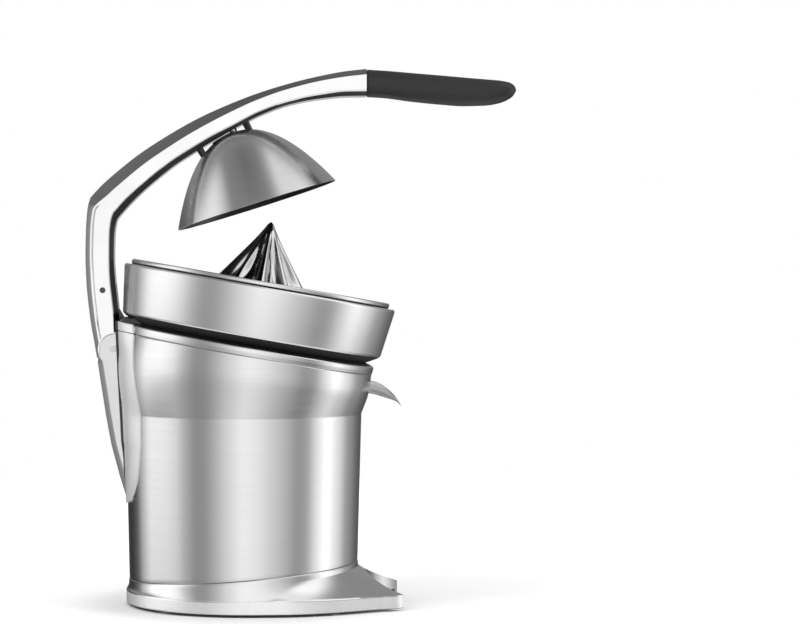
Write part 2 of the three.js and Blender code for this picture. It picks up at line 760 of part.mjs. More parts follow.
function gearboxCover() {
  const [x, y] = casePlace;
  const inner = caseRadius - caseWall - fit;
  const lip = coverBottom - coverThickness / 3;
  const plate = revolve([[0, lip], [inner, lip], [inner, coverBottom], [caseRadius, coverBottom],
    [caseRadius, coverTop],
    [0, coverTop]], caseSides).translate(x, y, 0);
  return cut(plate, disc(shaftRadius + turningGap, coverBottom - cutOver, coverTop + cutOver, pinSides),
    disc(axleRadius + fit, coverBottom - cutOver, coverTop - bite, pinSides).translate(...idlerPlace, 0),
    ...caseScrewPlaces().flatMap(([u, v]) => [
      disc(caseBossRadius + fit, coverBottom - cutOver, coverBottom, screwSides).translate(u, v, 0),
      disc(caseScrewShank + fit, coverBottom - cutOver, coverTop + cutOver, screwSides).translate(u, v,
        0)]));
}

function outputGear() {
  const wheel = gear(outputTeeth, outputModule, outputBottom, outputBottom + gearFace, shaftRadius + fit,
    idlerAngle);
  return join(wheel, washer(shaftRadius + fit, springPocket + caseWall, hubBottom, outputBottom + bite,
    pinSides));
}

function compoundGear() {
  const towardsOutput = idlerAngle + Math.PI;
  const small = gear(smallTeeth, outputModule, wheelBottom + wheelFace - bite, outputBottom + gearFace,
    axleRadius + fit,
    facingPhase(smallTeeth, towardsOutput));
  const large = gear(wheelTeeth, gearModule, wheelBottom, wheelBottom + wheelFace, axleRadius + fit,
    motorAngle);
  return join(small, large).translate(...idlerPlace, 0);
}

function motorPinion() {
  return gear(pinionTeeth, gearModule, wheelBottom - bite, wheelBottom + wheelFace + bite,
    motorShaftRadius + fit / 3,
    facingPhase(pinionTeeth, motorAngle + Math.PI)).translate(...motorPlace, 0);
}

function compoundAxle() {
  return disc(axleRadius, caseBottom + fit, coverTop - bite - fit, pinSides).translate(...idlerPlace, 0);
}

const motorTop = caseBottom - fit;
const endCapHeight = 5;
const endCapSpigot = 3;

function motorEndCap() {
  const shoulder = motorTop - endCapHeight;
  const inner = motorRadius - motorWall - fit;
  return revolve([[motorShaftRadius + fit, shoulder - endCapSpigot], [inner, shoulder - endCapSpigot],
    [inner, shoulder],
    [motorRadius, shoulder], [motorRadius, motorTop], [motorShaftRadius + fit, motorTop]], midSides)
    .translate(...motorPlace, 0);
}

function motorCan() {
  const top = motorTop - endCapHeight - fit;
  const bottom = motorTop - motorLength;
  const round = motorWall * 2;
  return revolve([[0, bottom], [motorRadius - round, bottom], [motorRadius, bottom + round],
    [motorRadius, top],
    [motorRadius - motorWall, top], [motorRadius - motorWall, bottom + round],
      [motorRadius - round, bottom + motorWall],
    [0, bottom + motorWall]], midSides).translate(...motorPlace, 0);
}

function motorArmature() {
  const shaftFoot = motorTop - motorLength + motorWall + fit;
  const shaftEnd = wheelBottom + wheelFace + bite;
  const at = (share) => motorTop - motorLength * share;
  const core = revolve([[0, shaftFoot], [motorShaftRadius, shaftFoot], [motorShaftRadius, at(0.89)],
    [armatureRadius * 0.45, at(0.89)], [armatureRadius * 0.45, at(0.78)], [armatureRadius, at(0.72)],
    [armatureRadius, at(0.27)], [armatureRadius * 0.8, at(0.21)], [motorShaftRadius, at(0.19)],
    [motorShaftRadius, shaftEnd], [0, shaftEnd]], midSides);
  return core.translate(...motorPlace, 0);
}

function gearboxScrew() {
  const top = shellTop - screwCover - fit;
  const seat = caseBottom - fit;
  const bottom = seat - caseScrewHeadHeight;
  return revolve([[0, bottom], [caseScrewHead, bottom], [caseScrewHead, seat], [caseScrewShank, seat],
    [caseScrewShank, top], [0, top]], screwSides);
}

const cupBottom = springTop + fit;
const cupTop = cupBottom + cupHeight;

function thrustCup() {
  const pin = springWire * 2;
  return revolve([[0, caseBottom - pressTravel], [pin, caseBottom - pressTravel], [pin, cupBottom],
    [springPocket - turningGap, cupBottom], [springPocket - turningGap, cupTop], [shaftRadius + fit, cupTop],
    [shaftRadius + fit, cupTop - cupRecess], [0, cupTop - cupRecess]], midSides);
}

class Helix extends THREE.Curve {
  getPoint(t) {
    const turn = 2 * Math.PI * springTurns * t;
    const radius = springPocket - turningGap - springWire * 1.6;
    const rise = lerp(caseFloor + springWire / 2 + fit, springTop - springWire / 2, t);
    return new THREE.Vector3(radius * Math.cos(turn), radius * Math.sin(turn), rise);
  }
}

function returnSpring() {
  const section = new THREE.Shape().absarc(0, 0, springWire / 2, 0, Math.PI * 2);
  return tidy(new THREE.ExtrudeGeometry(section, {
    extrudePath: new Helix(), steps: springTurns * 9, curveSegments: 3, bevelEnabled: false }));
}

function driveShaft() {
  const bottom = cupTop - cupRecess + fit;
  const step = shaftRadius * 0.2;
  const flat = shaftRadius * 0.86;
  return revolve([[0, bottom], [shaftRadius, bottom], [shaftRadius, deckBossTop + step * 8],
    [flat, deckBossTop + step * 10], [flat, shaftTop - step], [flat - step, shaftTop], [0, shaftTop]],
      pinSides);
}

function spindleBush() {
  const outer = shaftRadius + bushWall + fit / 2;
  return washer(shaftRadius + fit, outer, deckBossTop - bushLength, deckBossTop, midSides);
}

const switchTop = caseBottom - pressTravel * 2 - fit;

function microswitch() {
  const body = block(-switchLength / 2, switchLength / 2, -switchWidth / 2, switchWidth / 2,
    switchTop - switchHeight,
    switchTop);
  return cut(body, disc(plungerRadius + fit, switchTop - switchHeight * 0.6, switchTop + cutOver,
    screwSides));
}

function switchPlunger() {
  const top = caseBottom - pressTravel - fit;
  return disc(plungerRadius, top - plungerLength, top, screwSides);
}

// Spout: a U trough that runs out of the shell and dips to a beak, in shares of its length and depth
const spoutShares = [[-0.68, 1.04, 0.86, 0.8], [-0.6, 1.04, 0.3, 0.97], [0, 1.04, 0.13, 1],
  [0.27, 1.03, 0.02, 1],
  [0.52, 0.76, -0.2, 0.96], [0.67, 0.44, -0.35, 0.88], [0.81, 0, -0.49, 0.72], [0.92, -0.42, -0.66, 0.46],
  [1, -0.86, -0.95, 0.1]];

function spoutTrough() {
  const [pivotX, pivotZ] = spoutPivot;
  const base = spoutBase;
  const section = ([alongShare, rimShare, floorShare, widthShare]) => {
    const x = spoutMouth + spoutReach * alongShare;
    const [rim, floor] = [base + spoutDepth * rimShare, base + spoutDepth * floorShare];
    const half = spoutHalfWidth * widthShare;
    const arc = (inset, lift) => Array.from({ length: 9 }, (_, i) => {
      const turn = Math.PI * (i / 8);
      return new THREE.Vector3(x, -(half - inset) * Math.cos(turn),
        rim - (rim - floor - lift) * Math.sin(turn) ** 0.8);
    });
    return [...arc(0, 0), ...arc(Math.min(spoutWall, half * 0.6),
      Math.min(spoutWall, (rim - floor) * 0.6)).reverse()];
  };
  const trough = skin(spoutShares.map(section));
  const ears = [-1, 1].map((side) => {
    const place = side * spoutHalfWidth * 0.6;
    const ear = join(crossRod(spoutPivot, spoutEar, place - spoutWall, place + spoutWall, pinSides),
      block(pivotX - spoutEar, pivotX + spoutEar, place - spoutWall, place + spoutWall, pivotZ,
        base + spoutDepth * 0.3));
    return cut(ear, crossRod(spoutPivot, spoutPinRadius + fit, place - cutOver, place + cutOver, pinSides));
  });
  const inside = skin(spoutShares.map(section).map((ring) => ring.slice(9).reverse().concat(
    [new THREE.Vector3(ring[0].x, 0, ring[0].z + spoutDepth)])));
  return join(trough, ...ears.map((ear) => cut(ear, inside)));
}

function spoutBracket() {
  const [x, z] = spoutPivot;
  const [outX, outZ] = headPoint(outletPlace, deckBottom);
  const half = spoutHalfWidth + turningGap;
  const roof = outZ + cutOver * 2;
  const cheeks = [-1, 1].map((side) => {
    const [a, b] = [side * half, side * (half + spoutCheek)].sort((p, q) => p - q);
    return block(x - bracketBack, x + bracketFront, a, b, z - bracketFoot, roof);
  });
  const bridge = block(outX - bracketReach, x + bracketFront, -half - spoutCheek, half + spoutCheek,
    outZ - cutOver, roof);
  const under = inHead(disc(ringRadius * 2, deckBottom - fit, deckBottom + cutOver * 8, pinSides));
  const pipeRoom = disc(outletRadius + bowlWall + turningGap * 2, outletBottom - cutOver * 2, shellTop,
    midSides);
  const pipe = inHead(pipeRoom.translate(outletPlace, 0, 0));
  const swing = crossRod(spoutPivot, spoutSwing, -half, half, midSides);
  const room = keep(shellCore(-shellWall - fit), block(0, ringRadius * 2, -ringRadius, ringRadius, 0,
    headHeight * 2));
  const pin = crossRod(spoutPivot, spoutPinRadius + fit, -half * 2, half * 2, pinSides);
  return keep(cut(join(...cheeks, bridge), under, pipe, swing, pin), room);
}

function spoutPin() {
  const half = spoutHalfWidth + turningGap + spoutCheek;
  return crossRod(spoutPivot, spoutPinRadius, -half, half, pinSides);
}

// Link column: a cast channel through the shell's back that carries both ground pins. Each row of shares
// holds
// the way up, how far back and how wide.
const columnShares = [
  [0, 0.8993, 0.6522], [0.0692, 0.9081, 0.7391], [0.1246, 0.914, 0.8261], [0.1661, 0.9257, 0.8913],
  [0.2215, 0.9443, 0.9348], [0.2837, 0.956, 0.9783], [0.3391, 0.9687, 1], [0.4498, 0.9795, 1],
  [0.6159, 0.9922, 0.913], [0.8097, 0.998, 0.8478], [1, 1, 0.8261]];

// Shell radius behind the axis at a height
function shellBackRadius(z) {
  const low = Math.min(1, (z - jointHeight) / (creaseHeight - jointHeight));
  const high = Math.max(0, (z - creaseHeight) / (columnTop - creaseHeight));
  return lerp(shellFootRadius, creaseRadius, low) + backFlare * high;
}

function columnRing([upShare, backShare, halfShare], grow = 0) {
  const z = lerp(columnLow, columnTop, upShare);
  const half = columnSpread * halfShare + grow;
  const proud = shellBackRadius(z) + columnProud;
  const back = Math.max(columnBack * backShare, proud) + grow;
  const edge = Math.sqrt((proud + grow) ** 2 - half ** 2);
  const steps = 10;
  const arc = Array.from({ length: steps + 1 }, (_, i) => {
    const s = (2 * i) / steps - 1;
    return new THREE.Vector3(-lerp(back, edge, s * s), half * s, z);
  });
  return [...arc, new THREE.Vector3(-edge * 0.8, half, z), new THREE.Vector3(-edge * 0.8, -half, z)];
}

function columnBody(grow = 0) {
  const rings = columnShares.map((row) => columnRing(row, grow));
  rings[0].forEach((p) => p.setZ(p.z - grow));
  return skin(rings);
}

function ringRoom(above = fit) {
  return inHead(revolve([[0, deckBottom - fit], [deckRadius + fit, deckBottom - fit],
    [deckRadius + fit, shellTop],
    [ringRadius + fit * 2, shellTop], [ringRadius + fit * 2, ringTop + above], [0, ringTop + above]]));
}

function bowlRoom() {
  return inHead(revolve([[0, ringTop], [ringInner + bowlSeatInset, ringTop - fit / 2],
    [bowlFootRadius - bowlWall * 0.8, bowlFoot - bowlWall * 0.6 - fit * 2],
      [bowlFootRadius + fit * 2, bowlFoot - fit],
    [bowlRimRadius, bowlRimTop], [0, bowlRimTop]]));
}

function rearColumn() {
  const wrap = cut(columnBody(), shellCore(-columnWall));
  const wall = slotHalf + columnWall;
  const web = bayFront - columnWall;
  const channel = cut(block(-shellFootRadius, bayFront, -wall, wall, columnLow + columnWall, columnTop),
    block(-columnBack * 2, web, -slotHalf, slotHalf, 0, headHeight * 2));
  const ground = [lowerPin, upperPin].map((pin) => crossRod(pin, linkPinRadius + fit / 6, -wall - fit,
    wall + fit, pinSides));
  const slot = block(-columnBack * 2, web, -slotHalf, slotHalf, 0, headHeight * 2);
  const eyeWindow = block(web - columnWall, bayFront + columnWall, -upperLinkHalf * 1.6, upperLinkHalf * 1.6,
    upperPin[1] - upperLinkEye - columnWall, headHeight * 2);
  return cut(join(wrap, keep(channel, shellCore(-columnWall / 2))), slot, ...ground,
    ringRoom(bowlFoot - ringTop),
    bowlRoom(), eyeWindow);
}

function groundPin(place) {
  const half = slotHalf + columnWall;
  return crossRod(place, linkPinRadius, -half, half, pinSides);
}

// Rear link: from the lower pin up to two ears that hold the arm's tongue. The side outline is in shares of
// the
// span between its pins, from the knee: down the back, then up the front.
const linkShares = [
  [-0.1264, -0.1026], [-0.1055, -0.2423], [-0.0855, -0.3658], [-0.0665, -0.4893], [-0.0447, -0.6128],
    [-0.0209, -0.7363],
  [0.0124, -0.8589], [0.0456, -0.9824], [0.0836, -1.1059], [0.0988, -1.1534], [0.1539, -1.1211],
    [0.2052, -1.0451],
  [0.2109, -0.9691], [0.1729, -0.8361], [0.1159, -0.6651], [0.0684, -0.456], [0.0437, -0.266],
    [0.0684, -0.133],
  [0.0874, -0.057], [-0.0836, -0.057], [-0.0931, -0.0912]];

function alongLink([xShare, zShare]) {
  const span = Math.hypot(kneePin[0] - lowerPin[0], kneePin[1] - lowerPin[1]);
  return [kneePin[0] + xShare * span, kneePin[1] + zShare * span];
}

function rearLink() {
  const web = sidePlate(linkShares.map(alongLink), -armHalfWidth, armHalfWidth);
  const ears = crossRod(kneePin, kneeRadius, -armHalfWidth, armHalfWidth, midSides);
  const tongueHalf = armHalfWidth - earThickness;
  const gap = crossRod(kneePin, kneeRadius + turningGap, -tongueHalf, tongueHalf, midSides);
  const rearGap = block(kneePin[0] - kneeRadius * 2, kneePin[0] + kneeRadius, -tongueHalf, tongueHalf,
    kneePin[1],
    kneePin[1] + kneeRadius * 2);
  const bore = crossRod(kneePin, kneePinRadius + fit, -armHalfWidth * 2, armHalfWidth * 2, pinSides);
  const ground = crossRod(lowerPin, linkPinRadius + fit, -armHalfWidth * 2, armHalfWidth * 2, pinSides);
  const sinks = [-1, 1].map((side) => {
    const [a, b] = [side * (armHalfWidth - earRecess), side * (armHalfWidth + earRecess)].sort((p, q) =>
      p - q);
    return crossRod(kneePin, kneePinRadius * 2, a, b, midSides);
  });
  return cut(join(web, ears), gap, rearGap, bore, ground, ...sinks);
}

function kneePinRod() {
  return crossRod(kneePin, kneePinRadius, fit - armHalfWidth, armHalfWidth - fit, pinSides);
}

const armPinShare = [-0.0287, 0.1454];
const armPin = () => armPinShare.map((share, i) => kneePin[i] + share * armReach);

function upperLink() {
  const [from, to] = [upperPin, armPin()];
  const length = Math.hypot(to[0] - from[0], to[1] - from[1]);
  const along = [(to[0] - from[0]) / length, (to[1] - from[1]) / length];
  const across = [along[1], -along[0]];
  const half = upperLinkEye * 0.56;
  const corner = (p, s) => [p[0] + across[0] * half * s, p[1] + across[1] * half * s];
  const bar = sidePlate([corner(from, 1), corner(to, 1), corner(to, -1), corner(from, -1)], -upperLinkHalf,
    upperLinkHalf);
  const eyes = [from, to].map((p) => crossRod(p, upperLinkEye, -upperLinkHalf, upperLinkHalf, midSides));
  return cut(join(bar, ...eyes), crossRod(from, linkPinRadius + fit, -cutOver * 2, cutOver * 2, pinSides),
    crossRod(to, armPinRadius + openPinPlay, -cutOver * 2, cutOver * 2, pinSides));
}

// Arm: outer and inner edge points and both bevels, as shares of the reach from the knee pin to the grip's
// end
const armShares = [
  [-0.0427, -0.0224, 0.0097, -0.0224, 0.0110, 0.0062],
  [-0.0504, 0.0212, 0.0110, 0.0212, 0.0110, 0.0100],
  [-0.0591, 0.0711, 0.0120, 0.0711, 0.0115, 0.0135],
  [-0.0696, 0.1709, 0.0022, 0.1709, 0.0117, 0.0140],
  [-0.0716, 0.2332, -0.0012, 0.2257, 0.0112, 0.0125],
  [-0.0706, 0.2906, -0.0002, 0.2806, 0.0112, 0.0130],
  [-0.0661, 0.3505, 0.0062, 0.3193, 0.0140, 0.0150],
  [-0.0596, 0.3754, 0.0127, 0.3295, 0.0237, 0.0175],
  [-0.0327, 0.4048, 0.0359, 0.3559, 0.0287, 0.0175],
  [0.0122, 0.4445, 0.0659, 0.3859, 0.0282, 0.0160],
  [0.0621, 0.4837, 0.1083, 0.4228, 0.0274, 0.0150],
  [0.1120, 0.5168, 0.1519, 0.4570, 0.0264, 0.0145],
  [0.1619, 0.5470, 0.1968, 0.4862, 0.0249, 0.0140],
  [0.2118, 0.5740, 0.2405, 0.5133, 0.0234, 0.0135],
  [0.2741, 0.6024, 0.2978, 0.5465, 0.0200, 0.0105],
  [0.3490, 0.6318, 0.3652, 0.5814, 0.0155, 0.0095],
  [0.4238, 0.6555, 0.4338, 0.6064, 0.0130, 0.0085],
  [0.4986, 0.6745, 0.5036, 0.6204, 0.0127, 0.0100],
  [0.5735, 0.6889, 0.5760, 0.6276, 0.0140, 0.0125],
  [0.6258, 0.6947, 0.6258, 0.6283, 0.0140, 0.0125],
];
const armEdgeInset = 4.2;
const tangShares = [[0.6208, 0.6615], [0.9102, 0.6373]];

function onArm(xShare, zShare) {
  return new THREE.Vector3(kneePin[0] + xShare * armReach, 0, kneePin[1] + zShare * armReach);
}

function armSection([ox, oz, ix, iz, outerBevel, innerBevel], row, rows) {
  const [outer, inner] = [onArm(ox, oz), onArm(ix, iz)];
  const half = lerp(armHalfWidth, armTipHalfWidth, row / (rows.length - 1));
  const across = inner.clone().sub(outer).normalize();
  const upper = outer.clone().addScaledVector(across, outerBevel * armReach);
  const lower = inner.clone().addScaledVector(across, -innerBevel * armReach);
  const at = (p, y) => new THREE.Vector3(p.x, y, p.z);
  return [at(outer, half - armEdgeInset), at(upper, half), at(lower, half),
    at(inner, half - armEdgeInset * 0.7),
    at(inner, -half + armEdgeInset * 0.7), at(lower, -half), at(upper, -half),
      at(outer, -half + armEdgeInset)];
}

function tang(extra) {
  const [start, end] = tangShares.map(([x, z]) => onArm(x, z));
  const [height, half] = [tangHeight / 2 + extra, tangHalfWidth + extra];
  const ring = (p, shrink, push) => [[1, 1], [1, -1], [-1, -1], [-1, 1]].map(([a, b]) => (
    new THREE.Vector3(p.x + push, a * half * shrink, p.z + b * height * shrink)));
  return skin([ring(start, 1, 0), ring(end, 0.9, extra)]);
}

function armBlank() {
  return skin(armShares.map(armSection));
}

function pressArm() {
  const tongueHalf = armHalfWidth - earThickness - turningGap;
  const earSpace = kneeRadius + turningGap;
  const ears = [-1, 1].map((side) => {
    const [a, b] = [side * tongueHalf, side * armHalfWidth * 1.5].sort((p, q) => p - q);
    return crossRod(kneePin, earSpace, a, b, midSides);
  });
  const tongue = crossRod(kneePin, kneeRadius - turningGap, -tongueHalf, tongueHalf, midSides);
  const pin = armPin();
  const [gx, gz] = upperPin;
  const length = Math.hypot(gx - pin[0], gz - pin[1]);
  const back = upperLinkEye + turningGap * 4;
  const across = [((pin[1] - gz) / length) * back, ((gx - pin[0]) / length) * back];
  const slotHalfY = upperLinkHalf + turningGap;
  const linkSlot = sidePlate([[pin[0] - across[0], pin[1] - across[1] + back * 0.4],
    [pin[0] + back * 3, pin[1] + back * 1.2], [gx + back * 4, gz - back * 3],
    [gx - across[0], gz - across[1] - back * 3]], -slotHalfY, slotHalfY);
  const eyeRoom = crossRod(pin, back, -slotHalfY, slotHalfY, midSides);
  const bores = [crossRod(kneePin, kneePinRadius + fit, -armHalfWidth * 2, armHalfWidth * 2, pinSides),
    crossRod(pin, armPinRadius + fit / 6, -armHalfWidth * 2, armHalfWidth * 2, pinSides),
    placed(boltShank(fit, fit), domeMatrix)];
  const screwHole = gripScrewBody(fit, fit);
  const body = join(cut(armBlank(), ...ears), tongue, tang(0));
  return cut(body, linkSlot, eyeRoom, ...bores, screwHole);
}

function armLinkPin() {
  const half = armHalfWidth - fit;
  return crossRod(armPin(), armPinRadius, -half, half, pinSides);
}

// Grip: a soft sleeve over the arm's tang, edges as shares of the arm's reach
const gripShares = [
  [0.6271, 0.6952, 0.6271, 0.6273, 0.93],
  [0.6732, 0.6922, 0.6732, 0.6243, 0.97],
  [0.7391, 0.6867, 0.7391, 0.6156, 1],
  [0.8104, 0.6807, 0.8104, 0.6084, 1],
  [0.8663, 0.6757, 0.8663, 0.6046, 1],
  [0.9227, 0.6710, 0.9227, 0.6059, 0.97],
  [0.9601, 0.6677, 0.9576, 0.6116, 0.88],
  [0.9838, 0.6628, 0.9800, 0.6204, 0.7],
  [0.9960, 0.6543, 0.9925, 0.6298, 0.42],
  [1.0000, 0.6463, 0.9993, 0.6408, 0.12],
];

function gripSection([tx, tz, bx, bz, widthShare]) {
  const [top, bottom] = [onArm(tx, tz), onArm(bx, bz)];
  const middle = top.clone().add(bottom).divideScalar(2);
  const up = top.clone().sub(bottom).divideScalar(2);
  const half = gripHalfWidth * widthShare;
  return Array.from({ length: midSides }, (_, i) => {
    const turn = (2 * Math.PI * i) / midSides;
    const round = (v) => Math.sign(v) * Math.abs(v) ** 0.72;
    const p = middle.clone().addScaledVector(up, round(Math.sin(turn)));
    return p.setY(half * round(Math.cos(turn)));
  });
}

const gripScrewShare = [0.79, 0.6474];

function gripScrewBody(extra, deeper) {
  const place = onArm(...gripScrewShare);
  const head = gripScrewRadius * 1.8 + extra;
  const bottom = place.z - tangHeight * 1.06;
  const [low, seat, top] = [bottom - extra * 9, bottom + gripScrewHead, place.z + deeper];
  return revolve([[0, low], [head, low], [head, seat], [gripScrewRadius + extra, seat],
    [gripScrewRadius + extra, top],
    [0, top]], screwSides).translate(place.x, 0, 0);
}

function grip() {
  return cut(skin(gripShares.map(gripSection)), tang(fit), gripScrewBody(fit, fit));
}

// Pressing dome, hung on a collar under the arm
const leaning = (angle) => new THREE.Vector3(Math.sin(angle), 0, Math.cos(angle));
const domePlace = onArm(...domeSeatShare).addScaledVector(leaning(collarLean), -domeDrop)
  .addScaledVector(leaning(domeLean), -domeHeight);
const domeMatrix = new THREE.Matrix4().makeRotationY(domeLean).setPosition(domePlace);

function domeProfile(offset) {
  const [radius, height] = [domeRadius + offset, domeHeight + offset];
  return Array.from({ length: domeRings }, (_, i) => {
    const share = Math.cos((Math.PI / 2) * (i / (domeRings - 0.3)));
    return [radius * share, height * (1 - share ** (1 / domeFullness))];
  });
}

function pressDome() {
  const hole = boltRadius + fit;
  return revolve([...domeProfile(0), [hole, domeHeight], [hole, domeHeight - domeWall],
    ...domeProfile(-domeWall).reverse()]);
}

function boltShank(extra, deeper) {
  return disc(boltRadius + extra, domeHeight - cutOver, domeHeight + boltReach + deeper, pinSides);
}

function domeBolt() {
  const seat = domeHeight - domeWall - boltSeat;
  const tip = domeHeight + boltReach;
  return revolve([[0, seat - boltHeadRadius * 0.55], [boltHeadRadius * 0.6, seat - boltHeadRadius * 0.5],
    [boltHeadRadius, seat - boltHeadRadius * 0.17], [boltHeadRadius, seat], [boltRadius, seat],
      [boltRadius, tip],
    [0, tip]], pinSides);
}

function domeCollar() {
  const place = onArm(...collarShare);
  const matrix = new THREE.Matrix4().makeRotationY(collarLean).setPosition(place);
  const chamfer = collarHeight * 0.2;
  const blank = placed(revolve([[0, -collarHeight], [collarRadius - chamfer, -collarHeight],
    [collarRadius, chamfer - collarHeight], [collarRadius, -chamfer], [collarRadius - chamfer, 0], [0, 0]],
      midSides + 8),
  matrix);
  const crown = placed(revolve([...domeProfile(fit), [boltRadius + fit, domeHeight + fit],
    [0, domeHeight + fit], [0, 0]]),
    domeMatrix);
  const armRoom = skin(armShares.map(([ox, oz, ix, iz, ob, ib], row, rows) => (
    armSection([ox, oz, ix, iz - fit / armReach / 0.8, ob, ib], row, rows))));
  return cut(blank, crown, armRoom, placed(boltShank(fit, fit), domeMatrix));
}

// Caps of dark plastic on the column's two shoulders, under the bowl
function columnCap(side) {
  const [a, b] = [side * slotHalf, side * columnSpread].sort((p, q) => p - q);
  const last = columnShares[columnShares.length - 1];
  const slab = skin([columnTop + fit, columnTop + capHeight].map((z) =>
    columnRing(last).map((p) => p.setZ(z))));
  const shoulder = block(-columnBack * 2, -creaseRadius * 0.9, a, b, 0, headHeight * 2);
  return cut(keep(slab, shoulder), ringRoom(), bowlRoom());
}

// Assembly
const press = new THREE.Group();
const head = new THREE.Group();
head.rotation.y = headTilt;
head.position.z = headHeight;
press.add(head);

function add(group, name, geometry, [color, roughness, metalness], place = [0, 0, 0]) {
  const mesh = new THREE.Mesh(tidy(geometry), new THREE.MeshStandardMaterial({ color, roughness,
    metalness }));
  mesh.name = name;
  mesh.position.set(...place);
  group.add(mesh);
}

add(press, 'base_skirt', baseSkirt(), castMetal);
add(press, 'base_plate', basePlate(), blackPlastic);
footPlaces().forEach(([x, y], i) => add(press, `rubber_foot_${i + 1}`, rubberFoot(), rubber, [x, y, 0]));
baseBossPlaces().forEach(([x, y], i) => add(press, `base_screw_${i + 1}`, baseScrew(), steel, [x, y, 0]));
add(press, 'cord_inlet', cordInlet(), rubber);
add(press, 'housing_shell', housingShell(), steel);
add(head, 'housing_ring', housingRing(), castMetal);
add(head, 'top_deck', topDeck(), blackPlastic);
add(press, 'rear_column', rearColumn(), castMetal);
add(press, 'column_cap_near', columnCap(-1), blackPlastic);
add(press, 'column_cap_far', columnCap(1), blackPlastic);
add(press, 'lower_link_pin', groundPin(lowerPin), steel);
add(press, 'upper_link_pin', groundPin(upperPin), steel);
add(press, 'rear_link', rearLink(), castMetal);
add(press, 'knee_pin', kneePinRod(), steel);
add(press, 'upper_link', upperLink(), steel);
add(press, 'arm_link_pin', armLinkPin(), steel);
add(press, 'press_arm', pressArm(), castMetal);
add(press, 'grip', grip(), softBlack);
add(press, 'grip_screw', gripScrewBody(0, 0), steel);
add(press, 'dome_collar', domeCollar(), castMetal);
add(press, 'press_dome', placed(pressDome(), domeMatrix), steel);
add(press, 'dome_bolt', placed(domeBolt(), domeMatrix), steel);
add(head, 'juice_bowl', juiceBowl(), steel);
add(head, 'bowl_outlet', bowlOutlet(), steel);
add(head, 'pulp_filter', pulpFilter(), steel);
add(head, 'juicing_cone', juicingCone(), castMetal);
add(head, 'drive_shaft', driveShaft(), steel);
add(head, 'spindle_bush', spindleBush(), brass);
add(head, 'thrust_cup', thrustCup(), nylon);
add(head, 'return_spring', returnSpring(), steel);
add(head, 'microswitch', microswitch(), greyPlastic);
add(head, 'switch_plunger', switchPlunger(), nylon);
add(head, 'gearbox_case', gearboxCase(), greyPlastic);
add(head, 'gearbox_cover', gearboxCover(), greyPlastic);
caseScrewPlaces().forEach(([x, y], i) => add(head, `gearbox_screw_${i + 1}`, gearboxScrew(), steel,
  [x, y, 0]));
add(head, 'output_gear', outputGear(), nylon);
add(head, 'compound_gear', compoundGear(), nylon);
add(head, 'compound_axle', compoundAxle(), steel);
add(head, 'motor_pinion', motorPinion(), brass);
add(head, 'motor_armature', motorArmature(), copper);
add(head, 'motor_end_cap', motorEndCap(), castMetal);
add(head, 'motor_can', motorCan(), greyPlastic);
add(press, 'spout', spoutTrough(), steel);
add(press, 'spout_pin', spoutPin(), steel);
add(press, 'spout_bracket', spoutBracket(), blackPlastic);

// The origin is the middle of the whole press's box, on the table
press.updateMatrixWorld(true);
const extent = new THREE.Box3().setFromObject(press, true);
press.position.x = -(extent.min.x + extent.max.x) / 2;

export default press;
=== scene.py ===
"""Looks of a lever citrus juice press: a brushed body that flares into a leaning head, a bowl, a finned cone,
and a dome under a long cast arm. Every new piece is a surface worked out with numpy, in metres."""

import math

import bmesh
import bpy
import numpy as np
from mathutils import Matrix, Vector


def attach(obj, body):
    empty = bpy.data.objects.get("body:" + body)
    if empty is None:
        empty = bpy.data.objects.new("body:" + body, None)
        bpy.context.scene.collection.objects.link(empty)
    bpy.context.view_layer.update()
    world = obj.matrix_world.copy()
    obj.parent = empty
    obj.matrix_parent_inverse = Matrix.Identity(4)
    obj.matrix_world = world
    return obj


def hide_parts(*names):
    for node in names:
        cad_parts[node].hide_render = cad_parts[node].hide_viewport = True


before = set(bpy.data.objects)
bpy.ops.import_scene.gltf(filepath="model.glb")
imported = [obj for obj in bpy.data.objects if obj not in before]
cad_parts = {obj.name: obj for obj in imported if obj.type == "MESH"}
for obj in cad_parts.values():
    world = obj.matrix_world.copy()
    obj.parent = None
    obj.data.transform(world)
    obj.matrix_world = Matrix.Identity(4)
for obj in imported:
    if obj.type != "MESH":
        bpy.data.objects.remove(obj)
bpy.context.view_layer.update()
scene = bpy.context.scene

MM = 0.001
AXIS_X = -46.711                    # the body's axis in the frame, mm
HEAD_TILT = math.radians(10)
DOME_LEAN = math.radians(-17.55)
HEAD_HEIGHT = 180.7                 # where the leaning axis leaves the upright one, mm
JOINT_HEIGHT, JOINT_SLOPE = 28.0, math.tan(math.radians(4.55))
FLAT_SIDE = 0.9999                  # the share of Y in a face's normal from which it counts as a flat side


# surfaces
def to_frame(points):
    """Body millimetres to frame metres: the body's axis moves to its place along X."""
    moved = np.array(points, float)
    moved[..., 0] += AXIS_X
    return moved * MM


def lean(points, tilt=HEAD_TILT, x=0.0, z=HEAD_HEIGHT):
    """Turns (u, v, w) about Y by the tilt, and sets the origin at (x, z)."""
    u, v, w = points[..., 0], points[..., 1], points[..., 2]
    c, s = math.cos(tilt), math.sin(tilt)
    return np.stack([x + u * c + w * s, v, z - u * s + w * c], -1)


